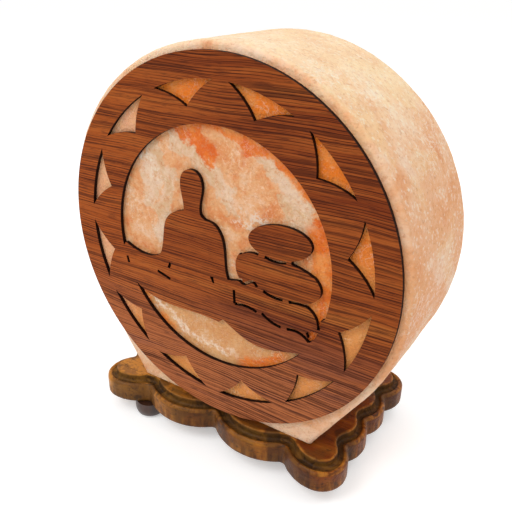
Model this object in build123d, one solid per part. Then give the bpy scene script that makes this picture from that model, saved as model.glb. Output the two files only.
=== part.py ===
from build123d import *
import os
from math import acos, atan2, cos, degrees, hypot, pi, radians, sin

# Salt crystal lamp: a round, drum-shaped block of rock salt on a carved wooden stand, with a
# fretwork panel on its front and a screw-cap bulb in a bore that opens under the stand.
# Millimetres. X to the right, Y to the back, Z up. The origin is the middle of the lamp's width
# and depth, on the surface that the lamp stands on.

# ---- driving dimensions: stand --------------------------------------------------------------
PAD_THICKNESS = 1.0
PAD_RADIUS = 4.2
FOOT_HEIGHT = 7.0
FOOT_BELLY_HEIGHT = 3.6
FOOT_RADIUS = 8.0
FOOT_TOP_RADIUS = 7.4
FOOT_BOTTOM_RADIUS = 7.0
LOWER_TIER_HEIGHT = 11.0
UPPER_TIER_HEIGHT = 2.6
UPPER_TIER_INSET = 5.0
GROOVE_WIDTH = 2.8
GROOVE_DEPTH = 1.1
RIM_ROUNDING = 2.0
UNDERSIDE_ROUNDING = 1.5
NOTCH_ROUNDING = 2.0
JOINT_ROUNDING = 3.0

# The stand's plan is one quarter, mirrored twice. Each lobe is an arc between two notches.
# The stand isn't quite centred under the salt: its middle lies at STAND_X.
STAND_X = -3.0
STAND_DEPTH = 90.2
STAND_WIDTH = 138.4
FRONT_NOTCH_DEPTH = 9.7
SIDE_NOTCH_DEPTH = 5.0
MIDDLE_LOBE_WIDTH = 40.2
MIDDLE_LOBE_DROP = 1.2
LOBE_JOINT_DEPTH = 7.9
CORNER_LOBE_LENGTH = 23.4
CORNER_LOBE_RADIUS = 12.0
SIDE_LOBE_DROP = 0.9

# The feet aren't quite in line: they are set by eye under the lobes. Each foot's middle lies
# this far in from the stand's nearer side and from its nearer long edge.
FRONT_LEFT_FOOT_INSET = (26.6, 10.6)
FRONT_RIGHT_FOOT_INSET = (18.5, 24.5)
BACK_LEFT_FOOT_INSET = (16.1, 11.6)
BACK_RIGHT_FOOT_INSET = (16.1, 11.6)

# ---- driving dimensions: salt block ---------------------------------------------------------
SALT_RADIUS = 86.3
SALT_FLAT_DEPTH = 3.6
SALT_DEPTH = 65.2
SALT_FOOT_WIDTH = 97.0
SALT_FORWARD = 1.8
FRONT_EDGE_ROUNDING = 2.5
BACK_EDGE_ROUNDING = 5.0
BORE_RADIUS = 20.0
BORE_END_ROUNDING = 6.0
BORE_HEADROOM = 24.0

# ---- driving dimensions: fretwork panel -----------------------------------------------------
PANEL_RADIUS = 82.5
PANEL_THICKNESS = 1.8
PANEL_LIFT = 0.2
OPENING_RADIUS = 54.8
RAY_COUNT = 12
RAY_OUTER_RADIUS = 72.1
RAY_TIP_RADIUS = 61.6
RAY_HALF_ANGLE = 12.2
RAY_FLANK_HOLLOW = 1.1
RAY_LEAN = 2.5
SLOT_WIDTH = 1.4
BRIDGE_WIDTH = 2.0
BRIDGE_HEIGHT = 2.6
ADHESIVE_THICKNESS = 0.2
ADHESIVE_RADIUS = 3.2
ADHESIVE_COUNT = 6

# ---- driving dimensions: fixings ------------------------------------------------------------
FOOT_SCREW_RADIUS = 1.5
FOOT_SCREW_HEAD_RADIUS = 2.8
FOOT_SCREW_HEAD_HEIGHT = 1.6
FOOT_SCREW_REACH = 8.0
SALT_SCREW_RADIUS = 2.0
SALT_SCREW_HEAD_RADIUS = 4.0
SALT_SCREW_HEAD_HEIGHT = 2.4
SALT_SCREW_REACH = 24.0
SALT_SCREW_SPACING = 68.0
PLUG_RADIUS = 4.0
PLUG_LENGTH = 30.0
PLUG_BORE_END_GAP = 1.0
SCREW_TIP_RADIUS = 0.2
FIXING_CLEARANCE = 0.1

# ---- driving dimensions: lampholder ---------------------------------------------------------
HOLE_RADIUS = 22.0
HOLDER_RECESS = 3.0
CAP_RADIUS = 14.2
CAP_WALL = 1.9
CAP_HEIGHT = 20.0
CAP_FLOOR = 2.2
CORD_ENTRY_RADIUS = 3.8
NECK_LENGTH = 8.0
NECK_WALL = 2.0
SLEEVE_RADIUS = 13.5
SLEEVE_WALL = 2.4
SLEEVE_HEIGHT = 30.0
PARTITION_HEIGHT = 6.0
SHELL_WALL = 0.5
SHELL_HEIGHT = 20.0
SHELL_FLOOR_WIDTH = 3.0
TERMINAL_WIDTH = 5.0
TERMINAL_DEPTH = 7.0
TERMINAL_HEIGHT = 6.5
TERMINAL_OFFSET = 5.6
TERMINAL_SCREW_RADIUS = 1.25
TERMINAL_SCREW_HEAD_RADIUS = 2.2
TERMINAL_SCREW_HEAD_HEIGHT = 1.4
TERMINAL_SCREW_EDGE = 0.9
TERMINAL_SCREW_END_GAP = 0.5
TERMINAL_ROOF = 1.5
RIVET_RADIUS = 0.9
RIVET_HEAD_RADIUS = 1.2
RIVET_HEAD_HEIGHT = 0.6
RIVET_REACH = 2.0
TONGUE_WIDTH = 3.0
TONGUE_THICKNESS = 0.4
TONGUE_PRESS = 0.3
CLIP_BAND_THICKNESS = 0.6
CLIP_BAND_HEIGHT = 7.0
CLIP_BAND_LIFT = 10.0
CLIP_LUG_WIDTH = 9.0
CLIP_LUG_REACH = 1.6
CLIP_WING_LENGTH = 14.0
CLIP_WING_WIDTH = 8.0
CLIP_WING_THICKNESS = 0.5
CLIP_WALL_GAP = 0.3
CLIP_ROOT_GAP = 0.3

# ---- driving dimensions: bulb ---------------------------------------------------------------
BULB_CAP_RADIUS = 6.9
BULB_CAP_WALL = 0.3
BULB_CAP_HEIGHT = 15.5
INSULATOR_HEIGHT = 3.3
INSULATOR_TIP_RADIUS = 3.2
INSULATOR_SKIRT = 1.0
CONTACT_HEIGHT = 1.2
CONTACT_RADIUS = 2.3
CONTACT_ROUNDING = 0.72
GLASS_RADIUS = 13.0
GLASS_WALL = 0.8
GLASS_SHOULDER_HEIGHT = 12.0
GLASS_BARREL_HEIGHT = 14.0
GLASS_NECK_LENGTH = 3.0
GLASS_NECK_RISE = 1.0
THREAD_CLEARANCE = 0.08
STEM_RADIUS = 2.2
STEM_HEIGHT = 17.0
STEM_RIM = 1.2
STEM_FLARE_HEIGHT = 5.0
LEAD_RADIUS = 0.3
LEAD_SPREAD = 6.0
LEAD_RISE = 6.0
LEAD_STRAIGHT = 1.0
FILAMENT_RADIUS = 0.25
FILAMENT_BOW = 2.0

# ---- driving dimensions: cord gland ---------------------------------------------------------
GLAND_HOLE_RADIUS = 4.0
GLAND_BORE_RADIUS = 2.75
GLAND_FLANGE_RADIUS = 5.2
GLAND_FLANGE_THICKNESS = 1.5
GLAND_LENGTH = 9.0
GLAND_SINK = 0.6

# A cutting tool runs this far past the face that it leaves through.
OVERRUN = 1.0

# ---- levels and places that follow ----------------------------------------------------------
FOOT_TOP_Z = PAD_THICKNESS + FOOT_HEIGHT
RIM_Z = FOOT_TOP_Z + LOWER_TIER_HEIGHT
STAND_TOP_Z = RIM_Z + UPPER_TIER_HEIGHT
PANEL_CENTRE_Z = STAND_TOP_Z + PANEL_LIFT + PANEL_RADIUS
SALT_CENTRE_Z = STAND_TOP_Z + SALT_RADIUS - SALT_FLAT_DEPTH
SALT_Y = -SALT_FORWARD
SALT_FRONT_Y = SALT_Y - SALT_DEPTH / 2
PANEL_BACK_Y = SALT_FRONT_Y - ADHESIVE_THICKNESS
HOLDER_Z = STAND_TOP_Z + HOLDER_RECESS
SLEEVE_Z = HOLDER_Z + CAP_HEIGHT
PARTITION_TOP_Z = SLEEVE_Z + PARTITION_HEIGHT
SLEEVE_TOP_Z = SLEEVE_Z + SLEEVE_HEIGHT
GLASS_FOOT_Z = SLEEVE_TOP_Z
CAP_BOTTOM_Z = GLASS_FOOT_Z - BULB_CAP_HEIGHT
INSULATOR_Z = CAP_BOTTOM_Z - INSULATOR_HEIGHT
CONTACT_Z = INSULATOR_Z - CONTACT_HEIGHT
GLASS_TOP_Z = GLASS_FOOT_Z + GLASS_SHOULDER_HEIGHT + GLASS_BARREL_HEIGHT + GLASS_RADIUS
BORE_TOP_Z = GLASS_TOP_Z + BORE_HEADROOM
GLAND_Z = FOOT_TOP_Z + LOWER_TIER_HEIGHT / 2
SHELL_INNER_RADIUS = BULB_CAP_RADIUS + THREAD_CLEARANCE
SHELL_RADIUS = SHELL_INNER_RADIUS + SHELL_WALL
CAP_BORE_RADIUS = CAP_RADIUS - CAP_WALL
NECK_RADIUS = CAP_BORE_RADIUS - FIXING_CLEARANCE
HOLDER_AXIS = Location((0, SALT_Y, 0))


def level(z):
    """Horizontal drawing plane at height z, over the middle of the stand."""
    return Plane.XY.offset(z)


def upright(y, z):
    """Drawing plane that faces the front: local X is X, local Y is Z, extrusion goes forward."""
    return Plane(origin=(0, y, z), x_dir=(1, 0, 0), z_dir=(0, -1, 0))


def turned(points):
    """Solid of revolution about Z from (radius, height) points of a half section."""
    outline = Polyline(*points, close=True)
    return revolve(Plane.XZ * make_face(outline), Axis.Z, 360)


def rod(radius, z_low, z_high):
    """Upright cylinder on the Z axis between two heights."""
    return Pos(0, 0, z_low) * extrude(Circle(radius), z_high - z_low)


def ring(outer, inner, z_low, z_high):
    """Upright tube on the Z axis between two heights."""
    return Pos(0, 0, z_low) * extrude(Circle(outer) - Circle(inner), z_high - z_low)


def on_holder_axis(shape):
    """Moves a piece made about the Z axis to the axis of the bore."""
    return HOLDER_AXIS * shape


# ---- stand ----------------------------------------------------------------------------------
def stand_notches():
    """The four kinds of notch between the lobes, in the front right quarter."""
    half_width = STAND_WIDTH / 2
    half_depth = STAND_DEPTH / 2
    front_middle = (0, FRONT_NOTCH_DEPTH - half_depth)
    front_side = (MIDDLE_LOBE_WIDTH, LOBE_JOINT_DEPTH - half_depth)
    side_front = (half_width - SIDE_NOTCH_DEPTH, CORNER_LOBE_LENGTH - half_depth)
    side_middle = (half_width - SIDE_NOTCH_DEPTH, 0)
    return front_middle, front_side, side_front, side_middle


def stand_plan():
    """Scalloped outline: middle, corner and side lobe of one quarter, mirrored twice."""
    half_width = STAND_WIDTH / 2
    half_depth = STAND_DEPTH / 2
    front_middle, front_side, side_front, side_middle = stand_notches()
    middle_peak = (MIDDLE_LOBE_WIDTH / 2, MIDDLE_LOBE_DROP - half_depth)
    side_peak = (half_width - SIDE_LOBE_DROP, side_front[1] / 2)
    corner_front = (half_width - CORNER_LOBE_RADIUS, -half_depth)
    corner_side = (half_width, CORNER_LOBE_RADIUS - half_depth)
    edges = [
        ThreePointArc(front_middle, middle_peak, front_side),
        TangentArc(corner_front, front_side, tangent=(-1, 0)),
        TangentArc(corner_front, corner_side, tangent=(1, 0)),
        TangentArc(corner_side, side_front, tangent=(0, 1)),
        ThreePointArc(side_front, side_peak, side_middle),
    ]
    edges += [mirror(edge, Plane.YZ) for edge in edges]
    edges += [mirror(edge, Plane.XZ) for edge in edges]
    plan = round_notches(make_face(edges), [front_side], JOINT_ROUNDING)
    plan = round_notches(plan, [front_middle, side_front, side_middle], NOTCH_ROUNDING)
    return Pos(STAND_X, 0) * plan


def round_notches(plan, places, radius):
    """Rounds the corners of the plan that lie at these places or at their mirror images."""
    kinks = {(round(abs(x), 3), round(abs(y), 3)) for x, y in places}
    corners = [v for v in plan.vertices() if (round(abs(v.X), 3), round(abs(v.Y), 3)) in kinks]
    return fillet(corners, radius)


def base_board():
    plan = stand_plan()
    inner_plan = offset(plan, -UPPER_TIER_INSET, kind=Kind.ARC)
    groove_plan = offset(plan, GROOVE_WIDTH - UPPER_TIER_INSET, kind=Kind.ARC)
    lower = level(FOOT_TOP_Z) * extrude(plan, LOWER_TIER_HEIGHT)
    rim = lower.faces().sort_by(Axis.Z)[-1].edges()
    lower = fillet(rim, RIM_ROUNDING)
    underside = lower.faces().sort_by(Axis.Z)[0].edges()
    lower = fillet(underside, UNDERSIDE_ROUNDING)
    upper = level(RIM_Z) * extrude(inner_plan, UPPER_TIER_HEIGHT)
    groove = level(RIM_Z - GROOVE_DEPTH) * extrude(groove_plan - inner_plan, 2 * GROOVE_DEPTH)
    board = lower - groove + upper
    board -= on_holder_axis(rod(HOLE_RADIUS, 0, STAND_TOP_Z + OVERRUN))
    board -= gland_hole()
    for x, y in feet_places():
        pilot = rod(FOOT_SCREW_RADIUS + FIXING_CLEARANCE / 2, FOOT_TOP_Z - OVERRUN, foot_screw_top())
        board -= Pos(x, y, 0) * pilot
    for x in salt_screw_places():
        board -= Pos(x, SALT_Y, 0) * salt_screw_hole()
    return board


def back_notch_y():
    """Where the stand's back edge lies at its middle notch."""
    return STAND_DEPTH / 2 - FRONT_NOTCH_DEPTH


def gland_seat_y():
    """Flat spot face for the gland's flange, a little inside the middle notch at the back."""
    return back_notch_y() - GLAND_FLANGE_THICKNESS - GLAND_SINK


def gland_hole():
    to_back = Plane(origin=(STAND_X, SALT_Y, GLAND_Z), x_dir=(1, 0, 0), z_dir=(0, 1, 0))
    passage = to_back * extrude(Circle(GLAND_HOLE_RADIUS + FIXING_CLEARANCE / 2), STAND_DEPTH)
    seat = Plane(origin=(STAND_X, gland_seat_y(), GLAND_Z), x_dir=(1, 0, 0), z_dir=(0, 1, 0))
    spot = seat * extrude(Circle(GLAND_FLANGE_RADIUS + FIXING_CLEARANCE), STAND_DEPTH)
    return passage + spot


def foot_place(inset, side, end):
    """Middle of a foot; side is -1 left or 1 right, end is -1 front or 1 back."""
    return STAND_X + side * (STAND_WIDTH / 2 - inset[0]), end * (STAND_DEPTH / 2 - inset[1])


def feet_places():
    return [
        foot_place(FRONT_LEFT_FOOT_INSET, -1, -1),
        foot_place(FRONT_RIGHT_FOOT_INSET, 1, -1),
        foot_place(BACK_LEFT_FOOT_INSET, -1, 1),
        foot_place(BACK_RIGHT_FOOT_INSET, 1, 1),
    ]


def foot_screw_seat():
    """Height of the counterbore floor that a foot screw's head bears on."""
    return PAD_THICKNESS + FOOT_SCREW_HEAD_HEIGHT + FIXING_CLEARANCE


def foot_screw_top():
    return FOOT_TOP_Z + FOOT_SCREW_REACH


def foot():
    """Turned foot: a flattened bun with a counterbored screw hole."""
    middle = PAD_THICKNESS + FOOT_BELLY_HEIGHT
    side = [
        ThreePointArc((FOOT_TOP_RADIUS, FOOT_TOP_Z), (FOOT_RADIUS, middle),
                      (FOOT_BOTTOM_RADIUS, PAD_THICKNESS)),
        Line((FOOT_BOTTOM_RADIUS, PAD_THICKNESS), (0, PAD_THICKNESS)),
        Line((0, PAD_THICKNESS), (0, FOOT_TOP_Z)),
        Line((0, FOOT_TOP_Z), (FOOT_TOP_RADIUS, FOOT_TOP_Z)),
    ]
    bun = revolve(Plane.XZ * make_face(side), Axis.Z, 360)
    bun -= rod(FOOT_SCREW_RADIUS + FIXING_CLEARANCE / 2, 0, FOOT_TOP_Z + OVERRUN)
    return bun - rod(FOOT_SCREW_HEAD_RADIUS + FIXING_CLEARANCE, 0, foot_screw_seat())


def foot_screw():
    seat = foot_screw_seat()
    head = rod(FOOT_SCREW_HEAD_RADIUS, seat - FOOT_SCREW_HEAD_HEIGHT, seat)
    tip = foot_screw_top() - FIXING_CLEARANCE
    shank = rod(FOOT_SCREW_RADIUS, seat, tip - FOOT_SCREW_RADIUS)
    point = Pos(0, 0, tip - FOOT_SCREW_RADIUS) * Cone(
        FOOT_SCREW_RADIUS, SCREW_TIP_RADIUS, FOOT_SCREW_RADIUS,
        align=(Align.CENTER, Align.CENTER, Align.MIN))
    return head + shank + point


def foot_pad():
    return rod(PAD_RADIUS, 0, PAD_THICKNESS)


def at_each_foot(shape):
    return [Pos(x, y, 0) * shape for x, y in feet_places()]


# ---- salt block -----------------------------------------------------------------------------
def salt_outline():
    """Circle with straight sides that leave it at a tangent and run to the foot's corners."""
    foot_drop = SALT_CENTRE_Z - STAND_TOP_Z
    half_foot = SALT_FOOT_WIDTH / 2
    corner_angle = atan2(-foot_drop, half_foot)
    reach = hypot(half_foot, foot_drop)
    tangent_angle = corner_angle + acos(SALT_RADIUS / reach)
    tangent = (SALT_RADIUS * cos(tangent_angle), SALT_RADIUS * sin(tangent_angle))
    arc = ThreePointArc(tangent, (0, SALT_RADIUS), (-tangent[0], tangent[1]))
    sides = Polyline((-tangent[0], tangent[1]), (-half_foot, -foot_drop),
                     (half_foot, -foot_drop), tangent)
    return make_face([arc, *sides.edges()])


def salt_block():
    back = upright(SALT_Y + SALT_DEPTH / 2, SALT_CENTRE_Z)
    block = back * extrude(salt_outline(), SALT_DEPTH)
    front_edges = block.faces().sort_by(Axis.Y)[0].edges()
    block = fillet(front_edges, FRONT_EDGE_ROUNDING)
    back_edges = block.faces().sort_by(Axis.Y)[-1].edges()
    block = fillet(back_edges, BACK_EDGE_ROUNDING)
    bore = rod(BORE_RADIUS, STAND_TOP_Z - OVERRUN, BORE_TOP_Z)
    bore = fillet(bore.faces().sort_by(Axis.Z)[-1].edges(), BORE_END_ROUNDING)
    block -= on_holder_axis(bore)
    for x in salt_screw_places():
        radius = PLUG_RADIUS + FIXING_CLEARANCE
        socket = rod(radius, STAND_TOP_Z - OVERRUN, plug_top() + FIXING_CLEARANCE)
        block -= Pos(x, SALT_Y, 0) * socket
    return block


def salt_screw_places():
    return [-SALT_SCREW_SPACING / 2, SALT_SCREW_SPACING / 2]


def plug_top():
    return STAND_TOP_Z + PLUG_LENGTH


def salt_screw_hole():
    """Clearance hole through the board with a counterbore for the head."""
    seat = FOOT_TOP_Z + SALT_SCREW_HEAD_HEIGHT + FIXING_CLEARANCE
    shank = rod(SALT_SCREW_RADIUS + FIXING_CLEARANCE, 0, STAND_TOP_Z + OVERRUN)
    return shank + rod(SALT_SCREW_HEAD_RADIUS + FIXING_CLEARANCE, 0, seat)


def salt_screw():
    seat = FOOT_TOP_Z + SALT_SCREW_HEAD_HEIGHT + FIXING_CLEARANCE
    head = rod(SALT_SCREW_HEAD_RADIUS, seat - SALT_SCREW_HEAD_HEIGHT, seat)
    tip = STAND_TOP_Z + SALT_SCREW_REACH
    shank = rod(SALT_SCREW_RADIUS, seat, tip - SALT_SCREW_RADIUS)
    point = Pos(0, 0, tip - SALT_SCREW_RADIUS) * Cone(
        SALT_SCREW_RADIUS, SCREW_TIP_RADIUS, SALT_SCREW_RADIUS,
        align=(Align.CENTER, Align.CENTER, Align.MIN))
    return head + shank + point


def wall_plug():
    """Nylon plug with a blind bore for the screw."""
    depth = SALT_SCREW_REACH + PLUG_BORE_END_GAP
    bore = rod(SALT_SCREW_RADIUS + FIXING_CLEARANCE / 2, 0, STAND_TOP_Z + depth)
    return rod(PLUG_RADIUS, STAND_TOP_Z, plug_top()) - bore


def at_each_salt_screw(shape):
    return [Pos(x, SALT_Y, 0) * shape for x in salt_screw_places()]


# ---- fretwork panel -------------------------------------------------------------------------
# The picture is drawn for an opening of radius 54.8 and follows the opening's size.
PICTURE_SCALE = OPENING_RADIUS / 54.8
LEFT_KNEE = [(-56.0, -12.5), (-52.5, -7.7)]
THIGH = [(-52.5, -7.7), (-46.0, -10.2), (-40.0, -11.0), (-31.6, -8.5)]
LEFT_ARM = [(-31.6, -8.5), (-28.7, 3.0), (-26.2, 10.7), (-22.5, 13.8), (-16.8, 15.8)]
HEAD = [(-16.8, 15.8), (-17.2, 21.4), (-18.2, 28.3), (-16.3, 33.1), (-12.6, 34.7), (-9.0, 33.6),
        (-6.7, 29.0), (-7.7, 22.0), (-8.0, 15.8)]
RIGHT_ARM = [(-8.0, 15.8), (-6.4, 14.3), (-1.8, 13.3), (2.0, 9.8), (4.1, 2.7), (6.0, -10.8)]
STEP = [(6.0, -10.8), (11.5, -9.8), (13.5, -10.6)]
LOW_STONE_TOP = [(13.5, -10.6), (24.0, -9.5), (36.0, -11.6), (44.0, -12.0)]
LOW_STONE_END = [(44.0, -12.0), (47.4, -14.2), (49.2, -17.2), (49.6, -20.5)]
RIGHT_BANK = [(49.6, -20.5), (51.0, -20.4), (51.1, -15.9), (53.2, -14.6), (56.0, -15.0),
              (60.0, -28.0), (45.0, -36.5), (42.4, -34.8)]
GROUND = [(42.4, -34.8), (30.6, -37.6), (22.0, -38.6), (12.6, -36.1), (7.2, -33.4), (3.4, -31.3)]
HEEL = [(3.4, -31.3), (1.0, -33.4)]
SEAT = [(1.0, -33.4), (-15.2, -32.9), (-33.2, -32.7), (-47.4, -27.4)]
LEFT_BANK = [(-47.4, -27.4), (-56.0, -24.0), (-56.0, -12.5)]
MIDDLE_STONE = [(13.4, -9.4), (10.2, -1.6), (12.4, 3.6), (18.0, 5.8), (30.0, 5.2), (41.6, 4.3),
                (47.9, 1.0), (50.3, -4.2), (47.4, -8.8), (41.4, -10.9), (28.0, -12.2)]
TOP_STONE_CENTRE = (30.9, 12.5)
TOP_STONE_RADII = (14.5, 7.4)
TOP_STONE_TILT = 6.0
CORNER_WINDOW = [(44.6, -23.6), (47.0, -22.1), (50.3, -21.7), (50.0, -23.9), (47.9, -26.4),
                 (46.6, -27.8)]
WEDGE_MARK = [(-3.4, -12.0), (-1.6, -11.5), (-1.0, -14.6), (-1.9, -14.8)]
SLOT_LINES = [
    [(11.9, 3.3), (16.4, 5.4), (21.4, 5.3)],
    [(24.4, 5.0), (28.0, 4.3), (34.4, 5.0)],
    [(36.9, 5.4), (42.5, 4.2), (47.0, 2.4)],
    [(12.9, -8.2), (14.0, -10.2), (17.5, -8.4), (20.9, -9.8)],
    [(24.0, -10.7), (28.4, -12.0), (33.4, -12.0)],
    [(36.2, -12.1), (41.4, -11.3), (46.6, -11.6)],
    [(9.3, -14.6), (9.7, -21.3)],
    [(9.7, -21.3), (15.4, -20.5), (21.0, -21.7)],
    [(23.6, -21.4), (27.4, -23.7), (33.0, -25.1)],
    [(35.8, -25.0), (42.0, -24.8), (46.4, -27.6)],
    [(-52.3, -14.8), (-51.4, -18.2)],
    [(-25.6, -11.4), (-26.8, -14.2)],
    [(-33.6, -17.5), (-26.0, -19.7)],
]
BRIDGES = [(22.9, 5.2), (35.7, 5.2), (22.5, -10.2), (34.8, -12.0)]


def curve(points):
    """One smooth stretch of an outline, or a straight one if it has two points."""
    if len(points) == 2:
        return Line(*points)
    return Spline(*points)


def figure_and_bank():
    """Seated figure, the ground in front of it and the lowest stone, joined to the ring."""
    stretches = [curve(LEFT_KNEE), curve(THIGH), curve(LEFT_ARM), curve(HEAD), curve(RIGHT_ARM)]
    stretches += [Polyline(*STEP), curve(LOW_STONE_TOP), curve(LOW_STONE_END)]
    stretches += [Polyline(*RIGHT_BANK), curve(GROUND), curve(HEEL), curve(SEAT)]
    stretches += [Polyline(*LEFT_BANK)]
    edges = [edge for stretch in stretches for edge in stretch.edges()]
    return make_face(edges)


def picture():
    middle_stone = make_face(Spline(*MIDDLE_STONE, periodic=True))
    top_stone = Pos(*TOP_STONE_CENTRE) * Rot(0, 0, TOP_STONE_TILT) * Ellipse(*TOP_STONE_RADII)
    art = figure_and_bank() + middle_stone + top_stone
    art -= make_face(Polyline(*CORNER_WINDOW, close=True))
    return art - make_face(Polyline(*WEDGE_MARK, close=True))


def slots():
    return [trace(curve(line), SLOT_WIDTH / PICTURE_SCALE) for line in SLOT_LINES]


def ray():
    """One ray: an arc outside and two hollow flanks that meet in a point inside."""
    half = radians(RAY_HALF_ANGLE)
    tip = (0, RAY_TIP_RADIUS)
    right = (RAY_OUTER_RADIUS * sin(half), RAY_OUTER_RADIUS * cos(half))
    left = (-right[0], right[1])
    middle_x = right[0] / 2
    middle_y = (right[1] + tip[1]) / 2
    slope = hypot(right[0], right[1] - tip[1])
    hollow_x = RAY_FLANK_HOLLOW * (right[1] - tip[1]) / slope
    hollow_y = RAY_FLANK_HOLLOW * right[0] / slope
    outer = ThreePointArc(left, (0, RAY_OUTER_RADIUS), right)
    flank = ThreePointArc(right, (middle_x - hollow_x, middle_y + hollow_y), tip)
    other = ThreePointArc(tip, (hollow_x - middle_x, middle_y + hollow_y), left)
    return make_face([outer, flank, other])


def ray_angles():
    """The rays stand between the panel's upright and level lines, leaning a little clockwise."""
    step = 360 / RAY_COUNT
    return [step * (i + 0.5) - RAY_LEAN for i in range(RAY_COUNT)]


def fretwork_panel():
    face = Circle(PANEL_RADIUS) - Circle(OPENING_RADIUS)
    face += scale(picture(), PICTURE_SCALE)
    for slot in slots():
        face -= scale(slot, PICTURE_SCALE)
    for x, z in BRIDGES:
        bridge = Pos(x * PICTURE_SCALE, z * PICTURE_SCALE) * Rectangle(BRIDGE_WIDTH, BRIDGE_HEIGHT)
        face += bridge
    for angle in ray_angles():
        face -= Rot(0, 0, angle) * ray()
    return upright(PANEL_BACK_Y, PANEL_CENTRE_Z) * extrude(face, PANEL_THICKNESS)


def adhesive_pads():
    """Double-sided pads behind the bars between the rays."""
    radius = (RAY_OUTER_RADIUS + PANEL_RADIUS) / 2
    spacing = 360 / ADHESIVE_COUNT
    pads = []
    for i in range(ADHESIVE_COUNT):
        angle = radians(spacing * (i + 0.5) - RAY_LEAN + 90)
        place = Pos(radius * cos(angle), radius * sin(angle))
        pad = extrude(place * Circle(ADHESIVE_RADIUS), ADHESIVE_THICKNESS)
        pads.append(upright(SALT_FRONT_Y, PANEL_CENTRE_Z) * pad)
    return pads


# ---- lampholder -----------------------------------------------------------------------------
def holder_cap():
    """Cup that closes the holder from below, with the cord's entry in its floor."""
    cup = rod(CAP_RADIUS, HOLDER_Z, SLEEVE_Z)
    cup = fillet(cup.faces().sort_by(Axis.Z)[0].edges(), CAP_WALL)
    cup -= rod(CAP_BORE_RADIUS, HOLDER_Z + CAP_FLOOR, SLEEVE_Z + OVERRUN)
    cup -= rod(CORD_ENTRY_RADIUS, HOLDER_Z - OVERRUN, SLEEVE_Z)
    return on_holder_axis(cup)


def holder_sleeve():
    """Insulating sleeve with a partition that carries the contacts and a neck for the cap."""
    body = rod(SLEEVE_RADIUS, SLEEVE_Z, SLEEVE_TOP_Z)
    body -= rod(SLEEVE_RADIUS - SLEEVE_WALL, PARTITION_TOP_Z, SLEEVE_TOP_Z + OVERRUN)
    body += ring(NECK_RADIUS, NECK_RADIUS - NECK_WALL, SLEEVE_Z - NECK_LENGTH, SLEEVE_Z)
    for x in (neutral_rivet_x(), live_rivet_x()):
        body -= Pos(x, 0, 0) * rod(RIVET_RADIUS + FIXING_CLEARANCE / 2, SLEEVE_Z, PARTITION_TOP_Z)
    return on_holder_axis(body)


def neutral_rivet_x():
    """In the floor of the threaded shell, close to its wall."""
    return -(SHELL_INNER_RADIUS - RIVET_HEAD_RADIUS - FIXING_CLEARANCE)


def live_rivet_x():
    """In the foot of the centre contact, inside the shell's floor."""
    floor_radius = SHELL_RADIUS - SHELL_FLOOR_WIDTH
    corner_x = (floor_radius**2 - (TONGUE_WIDTH / 2) ** 2) ** 0.5
    return corner_x - RIVET_HEAD_RADIUS - FIXING_CLEARANCE


def threaded_shell():
    floor_top = PARTITION_TOP_Z + SHELL_WALL
    shell = ring(SHELL_RADIUS, SHELL_INNER_RADIUS, PARTITION_TOP_Z, PARTITION_TOP_Z + SHELL_HEIGHT)
    shell += ring(SHELL_RADIUS, SHELL_RADIUS - SHELL_FLOOR_WIDTH, PARTITION_TOP_Z, floor_top)
    hole = rod(RIVET_RADIUS + FIXING_CLEARANCE / 2, PARTITION_TOP_Z - OVERRUN, floor_top + OVERRUN)
    return on_holder_axis(shell - Pos(neutral_rivet_x(), 0, 0) * hole)


def terminal(side):
    """Brass block under the partition, with a clamp screw from below and a rivet from above."""
    low = SLEEVE_Z - TERMINAL_HEIGHT
    block = Pos(side * TERMINAL_OFFSET, 0, low) * Box(
        TERMINAL_WIDTH, TERMINAL_DEPTH, TERMINAL_HEIGHT,
        align=(Align.CENTER, Align.CENTER, Align.MIN))
    tapping = rod(TERMINAL_SCREW_RADIUS + FIXING_CLEARANCE / 2, low - OVERRUN, tapping_top())
    block -= Pos(side * TERMINAL_OFFSET, terminal_screw_y(), 0) * tapping
    rivet_x = live_rivet_x() if side > 0 else neutral_rivet_x()
    socket = rod(RIVET_RADIUS + FIXING_CLEARANCE / 2, rivet_bottom(), SLEEVE_Z + OVERRUN)
    return on_holder_axis(block - Pos(rivet_x, 0, 0) * socket)


def terminal_screw_y():
    return TERMINAL_SCREW_EDGE + TERMINAL_SCREW_RADIUS - TERMINAL_DEPTH / 2


def tapping_top():
    return SLEEVE_Z - TERMINAL_ROOF


def rivet_bottom():
    return SLEEVE_Z - RIVET_REACH


def terminal_screws():
    screws = []
    low = SLEEVE_Z - TERMINAL_HEIGHT
    for side in (-1, 1):
        shank = rod(TERMINAL_SCREW_RADIUS, low, tapping_top() - TERMINAL_SCREW_END_GAP)
        head = rod(TERMINAL_SCREW_HEAD_RADIUS, low - TERMINAL_SCREW_HEAD_HEIGHT, low)
        screw = Pos(side * TERMINAL_OFFSET, terminal_screw_y(), 0) * (shank + head)
        screws.append(on_holder_axis(screw))
    return screws


def contact_rivets():
    rivets = []
    seat = {neutral_rivet_x(): SHELL_WALL, live_rivet_x(): TONGUE_THICKNESS}
    for x, plate in seat.items():
        top = PARTITION_TOP_Z + plate
        body = rod(RIVET_RADIUS, rivet_bottom() + FIXING_CLEARANCE, top)
        head = rod(RIVET_HEAD_RADIUS, top, top + RIVET_HEAD_HEIGHT)
        rivets.append(on_holder_axis(Pos(x, 0, 0) * (body + head)))
    return rivets


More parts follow.
